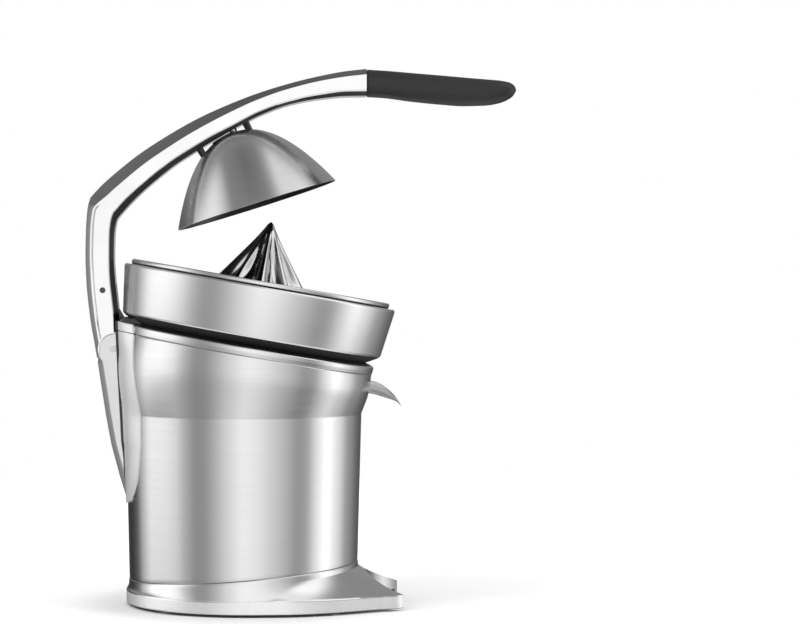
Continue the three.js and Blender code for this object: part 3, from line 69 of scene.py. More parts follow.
def smooth(table, share):
    """A smooth curve through a table of knots: a monotone cubic, whose slope at a knot is a weighted harmonic
    mean of the slopes on either side."""
    t, y = np.array(table, float).T
    h, d = np.diff(t), np.diff(y) / np.diff(t)
    m = np.zeros_like(y)
    same = d[:-1] * d[1:] > 0
    inner = np.zeros_like(d[:-1])
    w1, w2 = 2 * h[1:] + h[:-1], h[1:] + 2 * h[:-1]
    before, after = np.where(d[:-1] == 0, 1, d[:-1]), np.where(d[1:] == 0, 1, d[1:])
    inner[same] = ((w1 + w2) / (w1 / before + w2 / after))[same]
    m[1:-1], m[0], m[-1] = inner, d[0], d[-1]
    i = np.clip(np.searchsorted(t, share, side="right") - 1, 0, len(h) - 1)
    s = (share - t[i]) / h[i]
    return ((1 + 2 * s) * (1 - s) ** 2 * y[i] + s * (1 - s) ** 2 * h[i] * m[i]
            + s * s * (3 - 2 * s) * y[i + 1] + s * s * (s - 1) * h[i] * m[i + 1])


def grid_mesh(name, grid, around=True, along_too=False, capped=False, keep=None, shade=None):
    """A grid of points (rows, columns, 3) in body millimetres as quads, closed around its columns or rows,
    with the faces of a mask left out, and its first and last rows closed by one flat face each where it is
    capped. The UV map runs up the rows, then round the columns. The shade says which of the piece's finishes
    each quad takes."""
    rows, cols = grid.shape[:2]
    r = np.arange(rows if along_too else rows - 1)
    c = np.arange(cols if around else cols - 1)
    rr, cc = np.meshgrid(r, c, indexing="ij")
    r2, c2 = (rr + 1) % rows, (cc + 1) % cols
    quads = np.stack([rr * cols + cc, rr * cols + c2, r2 * cols + c2, r2 * cols + cc], -1)
    corners = [np.stack([rr + dr, cc + dc], -1) for dr, dc in ((0, 0), (0, 1), (1, 1), (1, 0))]
    uv = np.stack(corners, -2) / [rows, cols]
    mask = np.ones(rr.shape, bool) if keep is None else keep(rr, cc)
    finish = np.zeros(rr.shape, int) if shade is None else shade(rr, cc).astype(int)
    quads, uv, finish = quads[mask], uv[mask], finish[mask]
    ring = np.arange(cols)
    ends = [ring[::-1], ring + (rows - 1) * cols] if capped else []
    loops = np.concatenate([quads.ravel(), *ends])
    starts = np.r_[np.arange(len(quads)) * 4, len(quads) * 4 + np.arange(len(ends)) * cols]
    mesh = bpy.data.meshes.new(name)
    mesh.vertices.add(rows * cols)
    mesh.vertices.foreach_set("co", to_frame(grid).astype(np.float32).ravel())
    mesh.loops.add(len(loops))
    mesh.loops.foreach_set("vertex_index", loops.astype(np.int32))
    mesh.polygons.add(len(starts))
    mesh.polygons.foreach_set("loop_start", starts.astype(np.int32))
    mesh.polygons.foreach_set("material_index", np.r_[finish, np.zeros(len(ends), int)].astype(np.int32))
    layer = mesh.uv_layers.new(name="surface")
    flat = np.vstack([uv.reshape(-1, 2), np.zeros((len(ends) * cols, 2))])
    layer.data.foreach_set("uv", flat.astype(np.float32).ravel())
    mesh.update(calc_edges=True)
    mesh.validate()
    return mesh


def piece(name, mesh, body, nodes, finishes, crease=35):
    """Puts a mesh into the scene: doubles merged, faces turned outwards, smooth but for edges sharper than
    the crease. A list of finishes is in the order that the mesh's shade counts them."""
    bm = bmesh.new()
    bm.from_mesh(mesh)
    bmesh.ops.remove_doubles(bm, verts=bm.verts, dist=2e-6)
    bmesh.ops.dissolve_degenerate(bm, edges=bm.edges, dist=1e-7)
    bmesh.ops.recalc_face_normals(bm, faces=bm.faces)
    bm.to_mesh(mesh)
    bm.free()
    mesh.polygons.foreach_set("use_smooth", np.ones(len(mesh.polygons), bool))
    mesh.set_sharp_from_angle(angle=math.radians(crease))
    thing = bpy.data.objects.new(name, mesh)
    scene.collection.objects.link(thing)
    for finish in finishes if isinstance(finishes, list) else [finishes]:
        mesh.materials.append(finish)
    if nodes:
        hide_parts(*nodes)
    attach(thing, body)
    return thing


def swept(section, turn):
    """A section of (radius, height) carried round the axis: a row for each angle, a column for each point."""
    r, w = np.array(section, float).T
    return np.stack([np.outer(np.cos(turn), r), np.outer(np.sin(turn), r), np.outer(np.ones_like(turn), w)],
                    -1)


def lathe(profile, sides):
    """A profile of (radius, height) carried all the way round: a row for each point, a column for each
    side."""
    return swept(profile, np.linspace(0, 2 * np.pi, sides, endpoint=False)).swapaxes(0, 1)


def give_wall(thing, thickness, offset):
    """Gives an open skin a wall in mm: offset -1 puts it inside the skin, 0 half to either side."""
    wall = thing.modifiers.new("wall", "SOLIDIFY")
    wall.thickness, wall.offset = thickness * MM, offset


def rounded(profile, radius, closed=True):
    """A polyline with each corner cut back by the radius, and a five-point quadratic arc between the cuts."""
    p = np.array(profile, float)
    n = len(p)
    out = []
    for i in range(n):
        if not closed and i in (0, n - 1):
            out.append(p[i:i + 1])
            continue
        a, b, c = p[i - 1], p[i], p[(i + 1) % n]
        back, ahead = a - b, c - b
        cut = min(radius, 0.45 * np.linalg.norm(back), 0.45 * np.linalg.norm(ahead))
        start = b + back / np.linalg.norm(back) * cut
        end = b + ahead / np.linalg.norm(ahead) * cut
        t = np.linspace(0, 1, 5)[:, None]
        out.append((1 - t) ** 2 * start + 2 * t * (1 - t) * b + t * t * end)
    return np.vstack(out)


def dense(profile, gap, closed=True):
    """The same polyline with points no further apart than the gap."""
    p = np.array(profile, float)
    ends = np.roll(p, -1, 0) if closed else p[1:]
    starts = p if closed else p[:-1]
    parts = []
    for a, b in zip(starts, ends):
        count = max(1, int(np.ceil(np.linalg.norm(b - a) / gap)))
        parts.append(a + (b - a) * (np.arange(count) / count)[:, None])
    if not closed:
        parts.append(p[-1:])
    return np.vstack(parts)


def carve(thing, *cutters, crease=35):
    """Cuts closed cutter meshes out of a finished piece, and leaves its flat sides flat."""
    for cutter in cutters:
        tool = bpy.data.objects.new("carving", cutter)
        scene.collection.objects.link(tool)
        step = thing.modifiers.new("cut", "BOOLEAN")
        step.operation, step.solver, step.object = "DIFFERENCE", "EXACT", tool
        bpy.context.view_layer.update()
        settled = thing.evaluated_get(bpy.context.evaluated_depsgraph_get())
        made = bpy.data.meshes.new_from_object(settled)
        thing.modifiers.clear()
        thing.data = made
        bpy.data.objects.remove(tool)
    thing.data.set_sharp_from_angle(angle=math.radians(crease))
    normals = np.zeros(len(thing.data.polygons) * 3)
    thing.data.polygons.foreach_get("normal", normals)
    thing.data.polygons.foreach_set("use_smooth", np.abs(normals[1::3]) < FLAT_SIDE)


def plate_mesh(outline, y0, y1):
    """A closed side outline of (x, z) points in body millimetres, from one Y to the other."""
    x, z = np.array(outline, float).T
    grid = np.stack([np.stack([x, np.full_like(x, y), z], -1) for y in (y0, y1)])
    return turned_out(grid_mesh("plate", grid, capped=True))


def rod_mesh(place, radius, y0, y1, sides=64):
    """A closed cylinder across the press, along Y, at a place (x, z)."""
    turn = np.linspace(0, 2 * np.pi, sides, endpoint=False)
    return plate_mesh(np.stack([place[0] + radius * np.cos(turn), place[1] + radius * np.sin(turn)], -1),
                      y0, y1)


def turned_out(mesh):
    """The same mesh with its faces pointing outwards."""
    bm = bmesh.new()
    bm.from_mesh(mesh)
    bmesh.ops.recalc_face_normals(bm, faces=bm.faces)
    bm.to_mesh(mesh)
    bm.free()
    return mesh


# finishes
class Finish:
    """A node tree with a Principled shader, read in the piece's own Object coordinates."""

    def __init__(self, name, colour, roughness, metallic=0.0):
        self.material = bpy.data.materials.new(name)
        self.material.use_nodes = True
        self.tree = self.material.node_tree
        self.shader = self.tree.nodes["Principled BSDF"]
        self.place = self.tree.nodes.new("ShaderNodeTexCoord").outputs["Object"]
        self.set("Metallic", metallic)
        self.colour, self.roughness = colour, roughness
        self.set("Base Color", (*colour, 1))
        self.set("Roughness", roughness)

    def set(self, socket, value):
        self.shader.inputs[socket].default_value = value

    def link(self, output, node, socket):
        self.tree.links.new(output, node.inputs[socket])

    def noise(self, scale, stretch=(1, 1, 1), tilt=0.0, detail=3.0):
        """Noise whose grain is stretched along the axes, after the piece's own lean."""
        turn = self.tree.nodes.new("ShaderNodeMapping")
        turn.inputs["Rotation"].default_value = (0, -tilt, 0)
        self.link(self.place, turn, "Vector")
        size = self.tree.nodes.new("ShaderNodeMapping")
        size.inputs["Scale"].default_value = stretch
        self.link(turn.outputs[0], size, "Vector")
        node = self.tree.nodes.new("ShaderNodeTexNoise")
        node.inputs["Scale"].default_value = scale
        node.inputs["Detail"].default_value = detail
        node.inputs["Roughness"].default_value = 0.55
        self.link(size.outputs[0], node, "Vector")
        return node.outputs["Fac"]

    def between(self, fac, low, high):
        """Spreads the middle of a noise, where nearly all of it lies, from the low value to the high one."""
        node = self.tree.nodes.new("ShaderNodeMapRange")
        for socket, value in (("From Min", 0.3), ("From Max", 0.7), ("To Min", low), ("To Max", high)):
            node.inputs[socket].default_value = value
        self.link(fac, node, "Value")
        return node.outputs[0]

    def vary_roughness(self, fac, amount):
        varied = self.between(fac, self.roughness - amount, self.roughness + amount)
        self.link(varied, self.shader, "Roughness")

    def vary_colour(self, fac, other):
        node = self.tree.nodes.new("ShaderNodeMix")
        node.data_type = "RGBA"
        node.inputs[6].default_value = (*self.colour, 1)
        node.inputs[7].default_value = (*other, 1)
        self.link(self.between(fac, 0, 1), node, 0)
        self.link(node.outputs[2], self.shader, "Base Color")

    def bumps(self, *layers):
        """Bump layers of (fac, strength, distance in metres), one on the other."""
        last = None
        for fac, strength, distance in layers:
            node = self.tree.nodes.new("ShaderNodeBump")
            node.inputs["Strength"].default_value = strength
            node.inputs["Distance"].default_value = distance
            self.link(fac, node, "Height")
            if last:
                self.link(last, node, "Normal")
            last = node.outputs[0]
        self.link(last, self.shader, "Normal")

    def grain_direction(self, amount):
        """Stretches gloss across the grain, along the surface map's first direction."""
        tangent = self.tree.nodes.new("ShaderNodeTangent")
        tangent.direction_type = "UV_MAP"
        tangent.uv_map = "surface"
        self.set("Anisotropic", amount)
        self.link(tangent.outputs[0], self.shader, "Tangent")


def brushed_steel(name, tilt=0.0, roughness=0.25, shine=0.80, mapped=True, strength=0.06):
    """Stainless steel brushed round its axis: fine lines, cloudy wear, and gloss spread across the lines."""
    steel = Finish(name, (shine, shine, shine * 1.005), roughness, 1.0)
    fine = steel.noise(1, (34, 34, 3600), tilt, 4)
    broad = steel.noise(1, (9, 9, 420), tilt, 3)
    cloud = steel.noise(14, (1, 1, 1), tilt, 2)
    steel.vary_roughness(broad, 0.02)
    steel.vary_colour(fine, (shine * 0.95, shine * 0.95, shine * 0.955))
    steel.bumps((fine, strength, 0.00005), (broad, strength * 0.4, 0.0001), (cloud, 0.012, 0.0008))
    if mapped:
        steel.grain_direction(0.55)
    return steel.material


def cast_metal(name, shade=0.82, roughness=0.16, metallic=1.0):
    """Polished die casting: an almost even shine with a faint orange peel and softer patches."""
    metal = Finish(name, (shade, shade, shade * 1.005), roughness, metallic)
    cloud = metal.noise(26, detail=3)
    peel = metal.noise(420, detail=2)
    metal.vary_roughness(cloud, 0.03)
    metal.vary_colour(cloud, (shade * 0.95, shade * 0.95, shade * 0.955))
    metal.bumps((peel, 0.03, 0.00008), (cloud, 0.02, 0.0006))
    return metal.material


def moulded(name, colour, roughness, grain=900, depth=0.12):
    """Moulded plastic: a fine spark-eroded grain, with gloss that varies slowly over the piece."""
    plastic = Finish(name, colour, roughness)
    fine = plastic.noise(grain, detail=2)
    cloud = plastic.noise(22, detail=3)
    plastic.vary_roughness(cloud, 0.05)
    plastic.vary_colour(cloud, tuple(c * 1.12 + 0.002 for c in colour))
    plastic.bumps((fine, depth, 0.00008), (cloud, 0.03, 0.0005))
    return plastic.material


def turned_metal(name, colour, roughness=0.25):
    """Machined metal with tool marks round its length."""
    metal = Finish(name, colour, roughness, 1.0)
    lines = metal.noise(1, (60, 2400, 60), detail=3)
    cloud = metal.noise(40, detail=3)
    metal.vary_roughness(cloud, 0.06)
    metal.vary_colour(cloud, tuple(c * 0.85 for c in colour))
    metal.bumps((lines, 0.06, 0.00005))
    return metal.material


def wound_copper(name):
    """Lacquered copper wire in even turns: fine lines along the winding and a warm, uneven colour."""
    copper = Finish(name, (0.48, 0.2, 0.09), 0.32, 0.9)
    turns = copper.noise(1, (900, 900, 60), HEAD_TILT, 2)
    copper.vary_colour(turns, (0.24, 0.09, 0.04))
    copper.bumps((turns, 0.4, 0.0003))
    return copper.material


body_steel = brushed_steel("body_steel")
bowl_steel = brushed_steel("bowl_steel", HEAD_TILT, 0.31, 0.88)
dome_steel = brushed_steel("dome_steel", DOME_LEAN, 0.25, 0.7)
# a much darker copy of the body's brushed steel: painted shade on the spout
painted_shade_spout_steel = brushed_steel("painted_shade_spout_steel", 0.0, 0.24, 0.48, False)
filter_steel = brushed_steel("filter_steel", HEAD_TILT, 0.25, 0.78, False, 0.05)
arm_metal = cast_metal("arm_metal", 0.86, 0.13)
# near black: a painted dark reflection, on the arm's front chamfer and the dome's inner wall
painted_dark_reflection = cast_metal("painted_dark_reflection_metal", 0.07, 0.3)
# a darker grey copy of the arm's metal for its back bevel: painted shade and dark reflection
painted_shade_bevel = cast_metal("painted_shade_bevel_metal", 0.44, 0.18)
link_metal = cast_metal("link_metal", 0.68, 0.2)
column_metal = cast_metal("column_metal", 0.78, 0.32, 0.5)
# near black plastic used as painted shade: the slot's lip, the column's seam and the line under the stand's
# foot
painted_shade_liner = moulded("painted_shade_liner", (0.025, 0.025, 0.027), 0.4)
# near black: painted shade for the shadowed underside of the bowl's foot
painted_shade_black = moulded("painted_shade_black", (0.006, 0.006, 0.007), 0.8)
foot_band = cast_metal("foot_band", 0.88, 0.28, 0.45)
# a darker copy of the skirt's metal for the glass recess's wall: painted shade
painted_shade_recess = cast_metal("painted_shade_recess", 0.6, 0.25)
ring_metal = cast_metal("ring_metal", 0.8, 0.24)
skirt_metal = cast_metal("skirt_metal", 0.8, 0.2)
cone_metal = cast_metal("cone_metal", 0.74, 0.12)
pin_steel = turned_metal("pin_steel", (0.62, 0.62, 0.63))
pin_dark = turned_metal("dark_pin_steel", (0.12, 0.12, 0.125), 0.4)
brass = turned_metal("turned_brass", (0.72, 0.5, 0.2))
black_plastic = moulded("black_plastic", (0.018, 0.018, 0.02), 0.42)
cap_plastic = moulded("cap_plastic", (0.02, 0.02, 0.022), 0.28, 700, 0.06)
soft_grip = moulded("soft_grip", (0.012, 0.012, 0.014), 0.46, 1400, 0.2)
foot_rubber = moulded("foot_rubber", (0.015, 0.015, 0.016), 0.7, 600, 0.25)
nylon = moulded("nylon", (0.74, 0.71, 0.62), 0.4, 500, 0.06)
grey_plastic = moulded("grey_plastic", (0.22, 0.23, 0.245), 0.45, 800, 0.1)
copper = wound_copper("wound_copper")


# base skirt
OUTLINE = [(0, 1.475), (14, 1.465), (22, 1.43), (30, 1.29), (40, 1.19), (52, 1.12), (66, 1.06), (80, 1.01),
           (92, 1.0), (180, 1.0)]
FOOT_RADIUS, FOOT_BAND = 94.8, 12.4
SHELL_FOOT, CREASE_RADIUS, CREASE_HEIGHT, SHELL_RIM = 92.3, 95.5, 153.7, 101.3


def outline_radius(turn):
    """The stand's radius at an angle: round behind, and swelling to two horns in front."""
    degrees = np.degrees(np.abs(np.arctan2(np.sin(turn), np.cos(turn))))
    return FOOT_RADIUS * smooth(OUTLINE, degrees)


def build_skirt():
    """The skirt's section at an angle is a straight foot band, then a hollow quadratic curve up to a low
    collar under the slanted joint, then a step in to a lip under the shell. The glass recess is an upright
    cylinder carved out."""
    turn = np.linspace(0, 2 * np.pi, 288, endpoint=False)
    foot = outline_radius(turn)
    joint = JOINT_HEIGHT + SHELL_FOOT * np.cos(turn) * JOINT_SLOPE
    under = [(-4.0, 5.2), (-2.5, 5.0), (-2.4, 2.4), (-2.0, 2.05), (-0.7, 2.05)]
    band = [(-0.15, 2.4), (0, 3.1), (0, 3.5), (0, FOOT_BAND - 1.3), (0, FOOT_BAND - 0.9)]
    rows = [(foot + out, np.full_like(foot, height)) for out, height in under + band]
    wide = 1 - np.exp(-np.maximum(foot - FOOT_RADIUS, 0) / 9)
    top_r, top_z = SHELL_FOOT + 0.5, joint - 4.2
    knee_r = top_r + (foot - top_r) * (0.34 - 0.1 * wide)
    knee_z = FOOT_BAND + (top_z - FOOT_BAND) * (0.36 + 0.12 * wide)
    for t in np.linspace(0, 1, 22):
        r = (1 - t) ** 2 * foot + 2 * t * (1 - t) * knee_r + t * t * top_r
        z = (1 - t) ** 2 * FOOT_BAND + 2 * t * (1 - t) * knee_z + t * t * top_z
        rows.append((r - (0.35 if t == 0 else 0), z))
    collar = [(0.48, top_z + 0.35), (0.3, joint - 0.4), (0, joint), (-0.6, joint + 0.05),
              (-2.2, joint + 0.05), (-2.2, joint + 3.0), (-6.0, joint + 3.0)]
    rows += [(np.full_like(foot, SHELL_FOOT + out), height) for out, height in collar]
    grid = np.stack([np.stack([r * np.cos(turn), r * np.sin(turn), z], -1) for r, z in rows])
    first, last = len(under), len(under + band) - 1
    # the rows under the foot band take the dark liner: painted shade along the foot's lower edge
    mesh = grid_mesh("stand_skirt", grid, capped=True,
                     shade=lambda r, c: 1 + ((r >= first) & (r < last)) + 2 * (r < first))
    thing = piece("stand_skirt", mesh, "housing", ("base_skirt",),
                  [painted_shade_recess, skirt_metal, foot_band, painted_shade_liner])
    # the carved recess wall takes the first finish, the darker metal of painted shade
    post = lathe([(56.1, -10), (56.1, 80)], 160) + [154.6, 0, 0]
    carve(thing, turned_out(grid_mesh("glass", post, capped=True)))


build_skirt()


# body shell, ring and column
COLUMN = np.array([(83, 91.8, 24), (86, 92.0, 29.5), (90, 92.3, 34), (95, 92.6, 38.5), (101, 93.1, 42.8),
                   (107, 94.3, 45.7), (115, 96.1, 48), (124, 97.3, 49.8), (132, 98.4, 51), (148, 99.2, 51.5),
                   (172, 100.6, 51.3), (190, 101.5, 50), (205, 102.3, 47.6), (218, 102.9, 44.2),
                   (227.5, 103.2, 42.5)])
LIP, LIP_RISE = 20.4, 2.3           # where the slot's painted-shade lip begins, mm across, and how far it stands out
HEAD_TOP_X, HEAD_TOP_Z = 22 * math.sin(HEAD_TILT), HEAD_HEIGHT + 22 * math.cos(HEAD_TILT)


def column_half(z):
    """Half the column's width at a height."""
    return smooth(COLUMN[:, [0, 2]], np.clip(z, *COLUMN[[0, -1], 0]))


def column_back(z):
    """How far behind the body's axis the lip of the column's slot stands at a height."""
    return smooth(COLUMN[:, :2], np.clip(z, *COLUMN[[0, -1], 0]))


def flare(t):
    """The shell's outward share up the head: a straight rise that bends over and ends upright."""

    def rise(u):
        return 1 - np.log1p(np.exp(8 * (1 - u / 0.65))) / 8

    return (rise(t) - rise(0)) / (rise(1) - rise(0))


def swell(turn, t):
    """How far the head bulges beside the column, mm: most at the back, halfway up, nothing at its ends."""
    return 8 * np.clip(-np.cos(turn), 0, 1) ** 2 * t * (1 - t)


def build_shell():
    """Rings go up the body: flat ones on the slanted joint, then level up to the crease, then leaning with
    the head while their radius follows the flare. Faces behind the column and at the spout's window are left
    out."""
    window = np.radians(7.9)
    round_back = np.linspace(window, 2 * np.pi - window, 212)
    turn = np.unique(np.r_[round_back, np.linspace(-window, window, 9) % (2 * np.pi)])
    rows = []
    for t in np.r_[0, 0.004, 0.012, np.linspace(0.03, 0.97, 20), 0.985, 0.995, 1.0]:
        radius = SHELL_FOOT + (CREASE_RADIUS - SHELL_FOOT) * t - 0.25 * max(0, 1 - t / 0.008)
        x = radius * np.cos(turn)
        low = JOINT_HEIGHT + 0.18 + x * JOINT_SLOPE
        rows.append(np.stack([x, radius * np.sin(turn), low + (CREASE_HEIGHT - low) * t], -1))
    for t in np.r_[0.01, 0.03, np.linspace(0.06, 1, 44)]:
        radius = CREASE_RADIUS + (SHELL_RIM - CREASE_RADIUS) * flare(t) + swell(turn, t)
        ring = np.stack([radius * np.cos(turn), radius * np.sin(turn), np.zeros_like(turn)], -1)
        rows.append(lean(ring, HEAD_TILT * t, HEAD_TOP_X * t,
                         CREASE_HEIGHT + (HEAD_TOP_Z - CREASE_HEIGHT) * t))
    grid = np.stack(rows)
    middle = (grid[:-1, :] + grid[1:, :]) / 2
    middle = (middle + np.roll(middle, -1, 1)) / 2

    def keep(r, c):
        m = middle[r, c]
        across, height = np.abs(m[..., 1]), m[..., 2]
        hidden = ((across < column_half(height) - 4) & (height > 93)) | ((across < 16) & (height > 84))
        behind = (m[..., 0] < -60) & hidden
        front = (m[..., 0] > 80) & (across < 13.3) & (height > 166.9) & (height < 183.4)
        return ~(behind | front)

    thing = piece("body_shell", grid_mesh("body_shell", grid, keep=keep), "housing", ("housing_shell",),
                  body_steel, 25)
    give_wall(thing, 1.2, -1)


def build_ring():
    """The head ring's section, a low flat side with a bevel over it, carried round the leaning axis but for
    the gap that the arm swings through."""
    section = rounded([(94.2, 22.25), (101.3, 22.25), (101.5, 22.5), (101.9, 25.2), (102.0, 27.8),
                       (101.4, 28.7), (98.6, 30.0), (94.6, 30.8), (93.6, 30.6), (93.6, 22.25)], 0.15)
    gap = math.asin(15.7 / 98)
    turn = np.linspace(-np.pi + gap, np.pi - gap, 200)
    mesh = grid_mesh("head_ring", lean(swept(section, turn)), capped=True)
    piece("head_ring", mesh, "housing", ("housing_ring",), ring_metal, 30)


def shell_back(z):
    """The shell's distance from its axis at the column's edge, at a height: a cone up to the crease, and
    above it the leaning ring that passes this height there."""
    share = np.linspace(0, 1, 300)
    turn = np.pi - np.arcsin(column_half(z) / 100)[:, None]
    radius = CREASE_RADIUS + (SHELL_RIM - CREASE_RADIUS) * flare(share) + swell(turn, share)
    behind = -radius * np.cos(turn)
    height = CREASE_HEIGHT + (HEAD_TOP_Z - CREASE_HEIGHT) * share + behind * np.sin(HEAD_TILT * share)
    reach = np.hypot(behind * np.cos(HEAD_TILT * share) - HEAD_TOP_X * share, radius * np.sin(turn))
    row = np.clip((height < z[:, None]).sum(1), 0, len(share) - 1)
    head = reach[np.arange(len(z)), row]
    cone = SHELL_FOOT + (CREASE_RADIUS - SHELL_FOOT) * (z - JOINT_HEIGHT) / (CREASE_HEIGHT - JOINT_HEIGHT)
    return np.where(z < CREASE_HEIGHT, cone, head)


def column_skin(z, y):
    """The column's outer skin behind the body, at a height and a place across: level beside the lip of its
    slot, and curving forwards to its edge, which stands just proud of the shell."""
    half = column_half(z)
    proud = shell_back(z) + 0.7
    back = np.maximum(column_back(z) - LIP_RISE, proud)
    edge = np.sqrt(proud ** 2 - half ** 2)
    return -(back + (edge - back) * np.clip((y - LIP) / (half - LIP), 0, 1) ** 1.7)


def build_column():
    """One strip across the back: the outer skin, a raised rim, a cheek at each side of the link's slot, and a
    web in front of the slot that joins the cheeks. From the rim to the web it is painted dark as the slot's
    shade.
    It is carried up the body's height, with a seam in line with the ring's, painted dark as its shade."""
    top, foot, seam, mouth = 227.4, 83.0, 220.1, 15.65
    level = np.r_[np.linspace(foot, seam - 0.5, 66), seam - 0.35, seam - 0.2, seam + 0.2, seam + 0.35,
                  np.linspace(seam + 0.5, top, 6)]
    sunk = 0.7 * (np.abs(level - seam) < 0.3)
    leaning = np.clip((level - 190) / 25, 0, 1) * math.tan(HEAD_TILT)
    half = column_half(level)
    strips = []
    for share in np.linspace(1, 0, 22):
        y = LIP + (half - LIP) * share
        strips.append(np.stack([column_skin(level, y) + sunk, y, level], -1))
    rim = column_skin(level, np.full_like(level, LIP))
    least = 0.15 + 1.15 * np.clip((level - 95) / 15, 0, 1)
    lip = rim - np.clip(column_back(level) + rim, least, LIP_RISE)
    inside = lip + 0.7
    for x, y in ((lip + 0.15, 18.0), (lip, 17.2), (inside, mouth)):
        strips.append(np.stack([x + sunk, np.full_like(level, y), level], -1))
    for share in np.linspace(0.08, 1, 12):
        z = foot + (level - foot) * (top - 14 * min(1, 4 * share) - foot) / (top - foot)
        strips.append(np.stack([inside + (-79.7 - inside) * share ** 1.5, np.full_like(level, mouth), z], -1))
    for share in np.linspace(0.875, 0, 8):
        z = foot + (level - foot) * (186.0 - foot) / (top - foot)
        strips.append(np.stack([np.full_like(level, -78.4), np.full_like(level, mouth * share), z], -1))
    right = np.stack(strips, 1)
    right[..., 2] -= leaning[:, None] * (right[..., 0] + 95) * (np.arange(right.shape[1]) < 25)
    left = right[:, ::-1][:, 1:] * [1, -1, 1]
    grid = np.concatenate([right, left], 1)
    count = grid.shape[1]

    # the lip strips and the seam rows are painted dark as their shade
    def shade(r, c):
        within_lip = (c > 20) & (c < count - 22)
        in_seam = (r > 65) & (r < 69)
        return within_lip | in_seam

    mesh = grid_mesh("link_column", grid, around=False, shade=shade)
    thing = piece("link_column", mesh, "housing", ("rear_column",), [column_metal, painted_shade_liner],
                  40)
    face = thing.data.polygons[5]
    outwards = face.normal.dot(face.center - Vector((AXIS_X * MM, 0, 0))) > 0
    give_wall(thing, 2.4, -1 if outwards else 1)


def build_caps():
    """A dark wedge on each shoulder of the column: its six-cornered section runs from the column's skin to
    the slope of the bowl's foot, and is carried across the shoulder."""
    for side, name in ((-1, "near"), (1, "far")):
        y = np.linspace(16.0, 37.6, 24)
        skin = column_skin(np.full_like(y, 227.0), y)
        room = 5.3 - 0.985 * np.sqrt(94.8 ** 2 - y ** 2)
        drop = -(room + 86) * 0.1
        section = [(skin + 0.5, 226.6), (skin + 0.1, 228.2), (skin + 3.4, 231.6),
                   (np.maximum(room - 4.6, skin + 3.8), 231.4), (room - 0.4, 227.6), (room - 0.4, 226.0)]
        grid = np.stack([np.stack([x, side * y, z + drop * (z > 227)], -1) for x, z in section], 1)
        mesh = grid_mesh("cap", grid, capped=True)
        cap = piece(f"shoulder_cap_{name}", mesh, "housing", (f"column_cap_{name}",), cap_plastic,
                    25)
        edge = cap.modifiers.new("edge", "BEVEL")
        edge.width, edge.segments, edge.limit_method = 0.35 * MM, 2, "ANGLE"


build_shell()
build_ring()
build_column()
build_caps()


# bowl, filter, cone
def build_bowl():
    """The bowl's wall section, carried round the leaning axis: a conical side, a rounded foot whose underside
    is painted black as shade, a floor and the chimney round the shaft. The outlet tube hangs under the floor."""
    section = rounded([(109.5, 75.6), (104.6, 39.2), (103.2, 37.9), (94.8, 32.4), (17.8, 34.0), (17.8, 62),
                       (16.2, 62), (16.2, 30.9), (94.8, 30.8), (104.3, 36.1), (105.9, 37.7), (111.1, 75.2),
                       (110.2, 76.8), (109.2, 76.8)], 1.5)
    # the rows of the foot's underside take the near black of painted shade
    mesh = grid_mesh("bowl", lean(lathe(section, 220)), along_too=True,
                     shade=lambda r, c: (r > 38) & (r < 50))
    piece("bowl", mesh, "housing", ("juice_bowl",), [bowl_steel, painted_shade_black], 40)
    pipe = rounded([(9.6, 32), (9.6, 15), (8.0, 15), (8.0, 32)], 0.5)
    tube = lathe(pipe, 48) + [82.5, 0, 0]
    piece("outlet_tube", grid_mesh("outlet_tube", lean(tube), along_too=True), "housing", ("bowl_outlet",),
          bowl_steel, 40)


def build_filter():
    """A thin dish round the cone: a rolled lip, a steep wall, a floor with rays of slots, and a hub."""
    line = rounded([(104.2, 76.2), (105.5, 78.2), (105.2, 80.6), (104.0, 80.9), (102.6, 79.8), (101.4, 67),
                    (98.4, 62.2), (93.6, 60.6), (24.0, 58.4), (22.6, 59.2), (22.6, 62.6), (21.8, 63.2),
                    (16.9, 63.2)], 1.0, closed=False)
    line = dense(line, 1.6, closed=False)
    rays, pitch = 16, 16
    radius = line[:, 0]

    def keep(r, c):
        floor = (radius[r] > 36) & (radius[r] < 88) & (r > 10)
        long_slot = c % pitch < 3
        short_slot = (c % pitch > 7) & (c % pitch < 10) & (radius[r] > 56)
        return ~(floor & (long_slot | short_slot))

    mesh = grid_mesh("pulp_dish", lean(lathe(line, rays * pitch)), keep=keep)
    thing = piece("pulp_dish", mesh, "housing", ("pulp_filter",), filter_steel, 40)
    give_wall(thing, 0.8, 0)


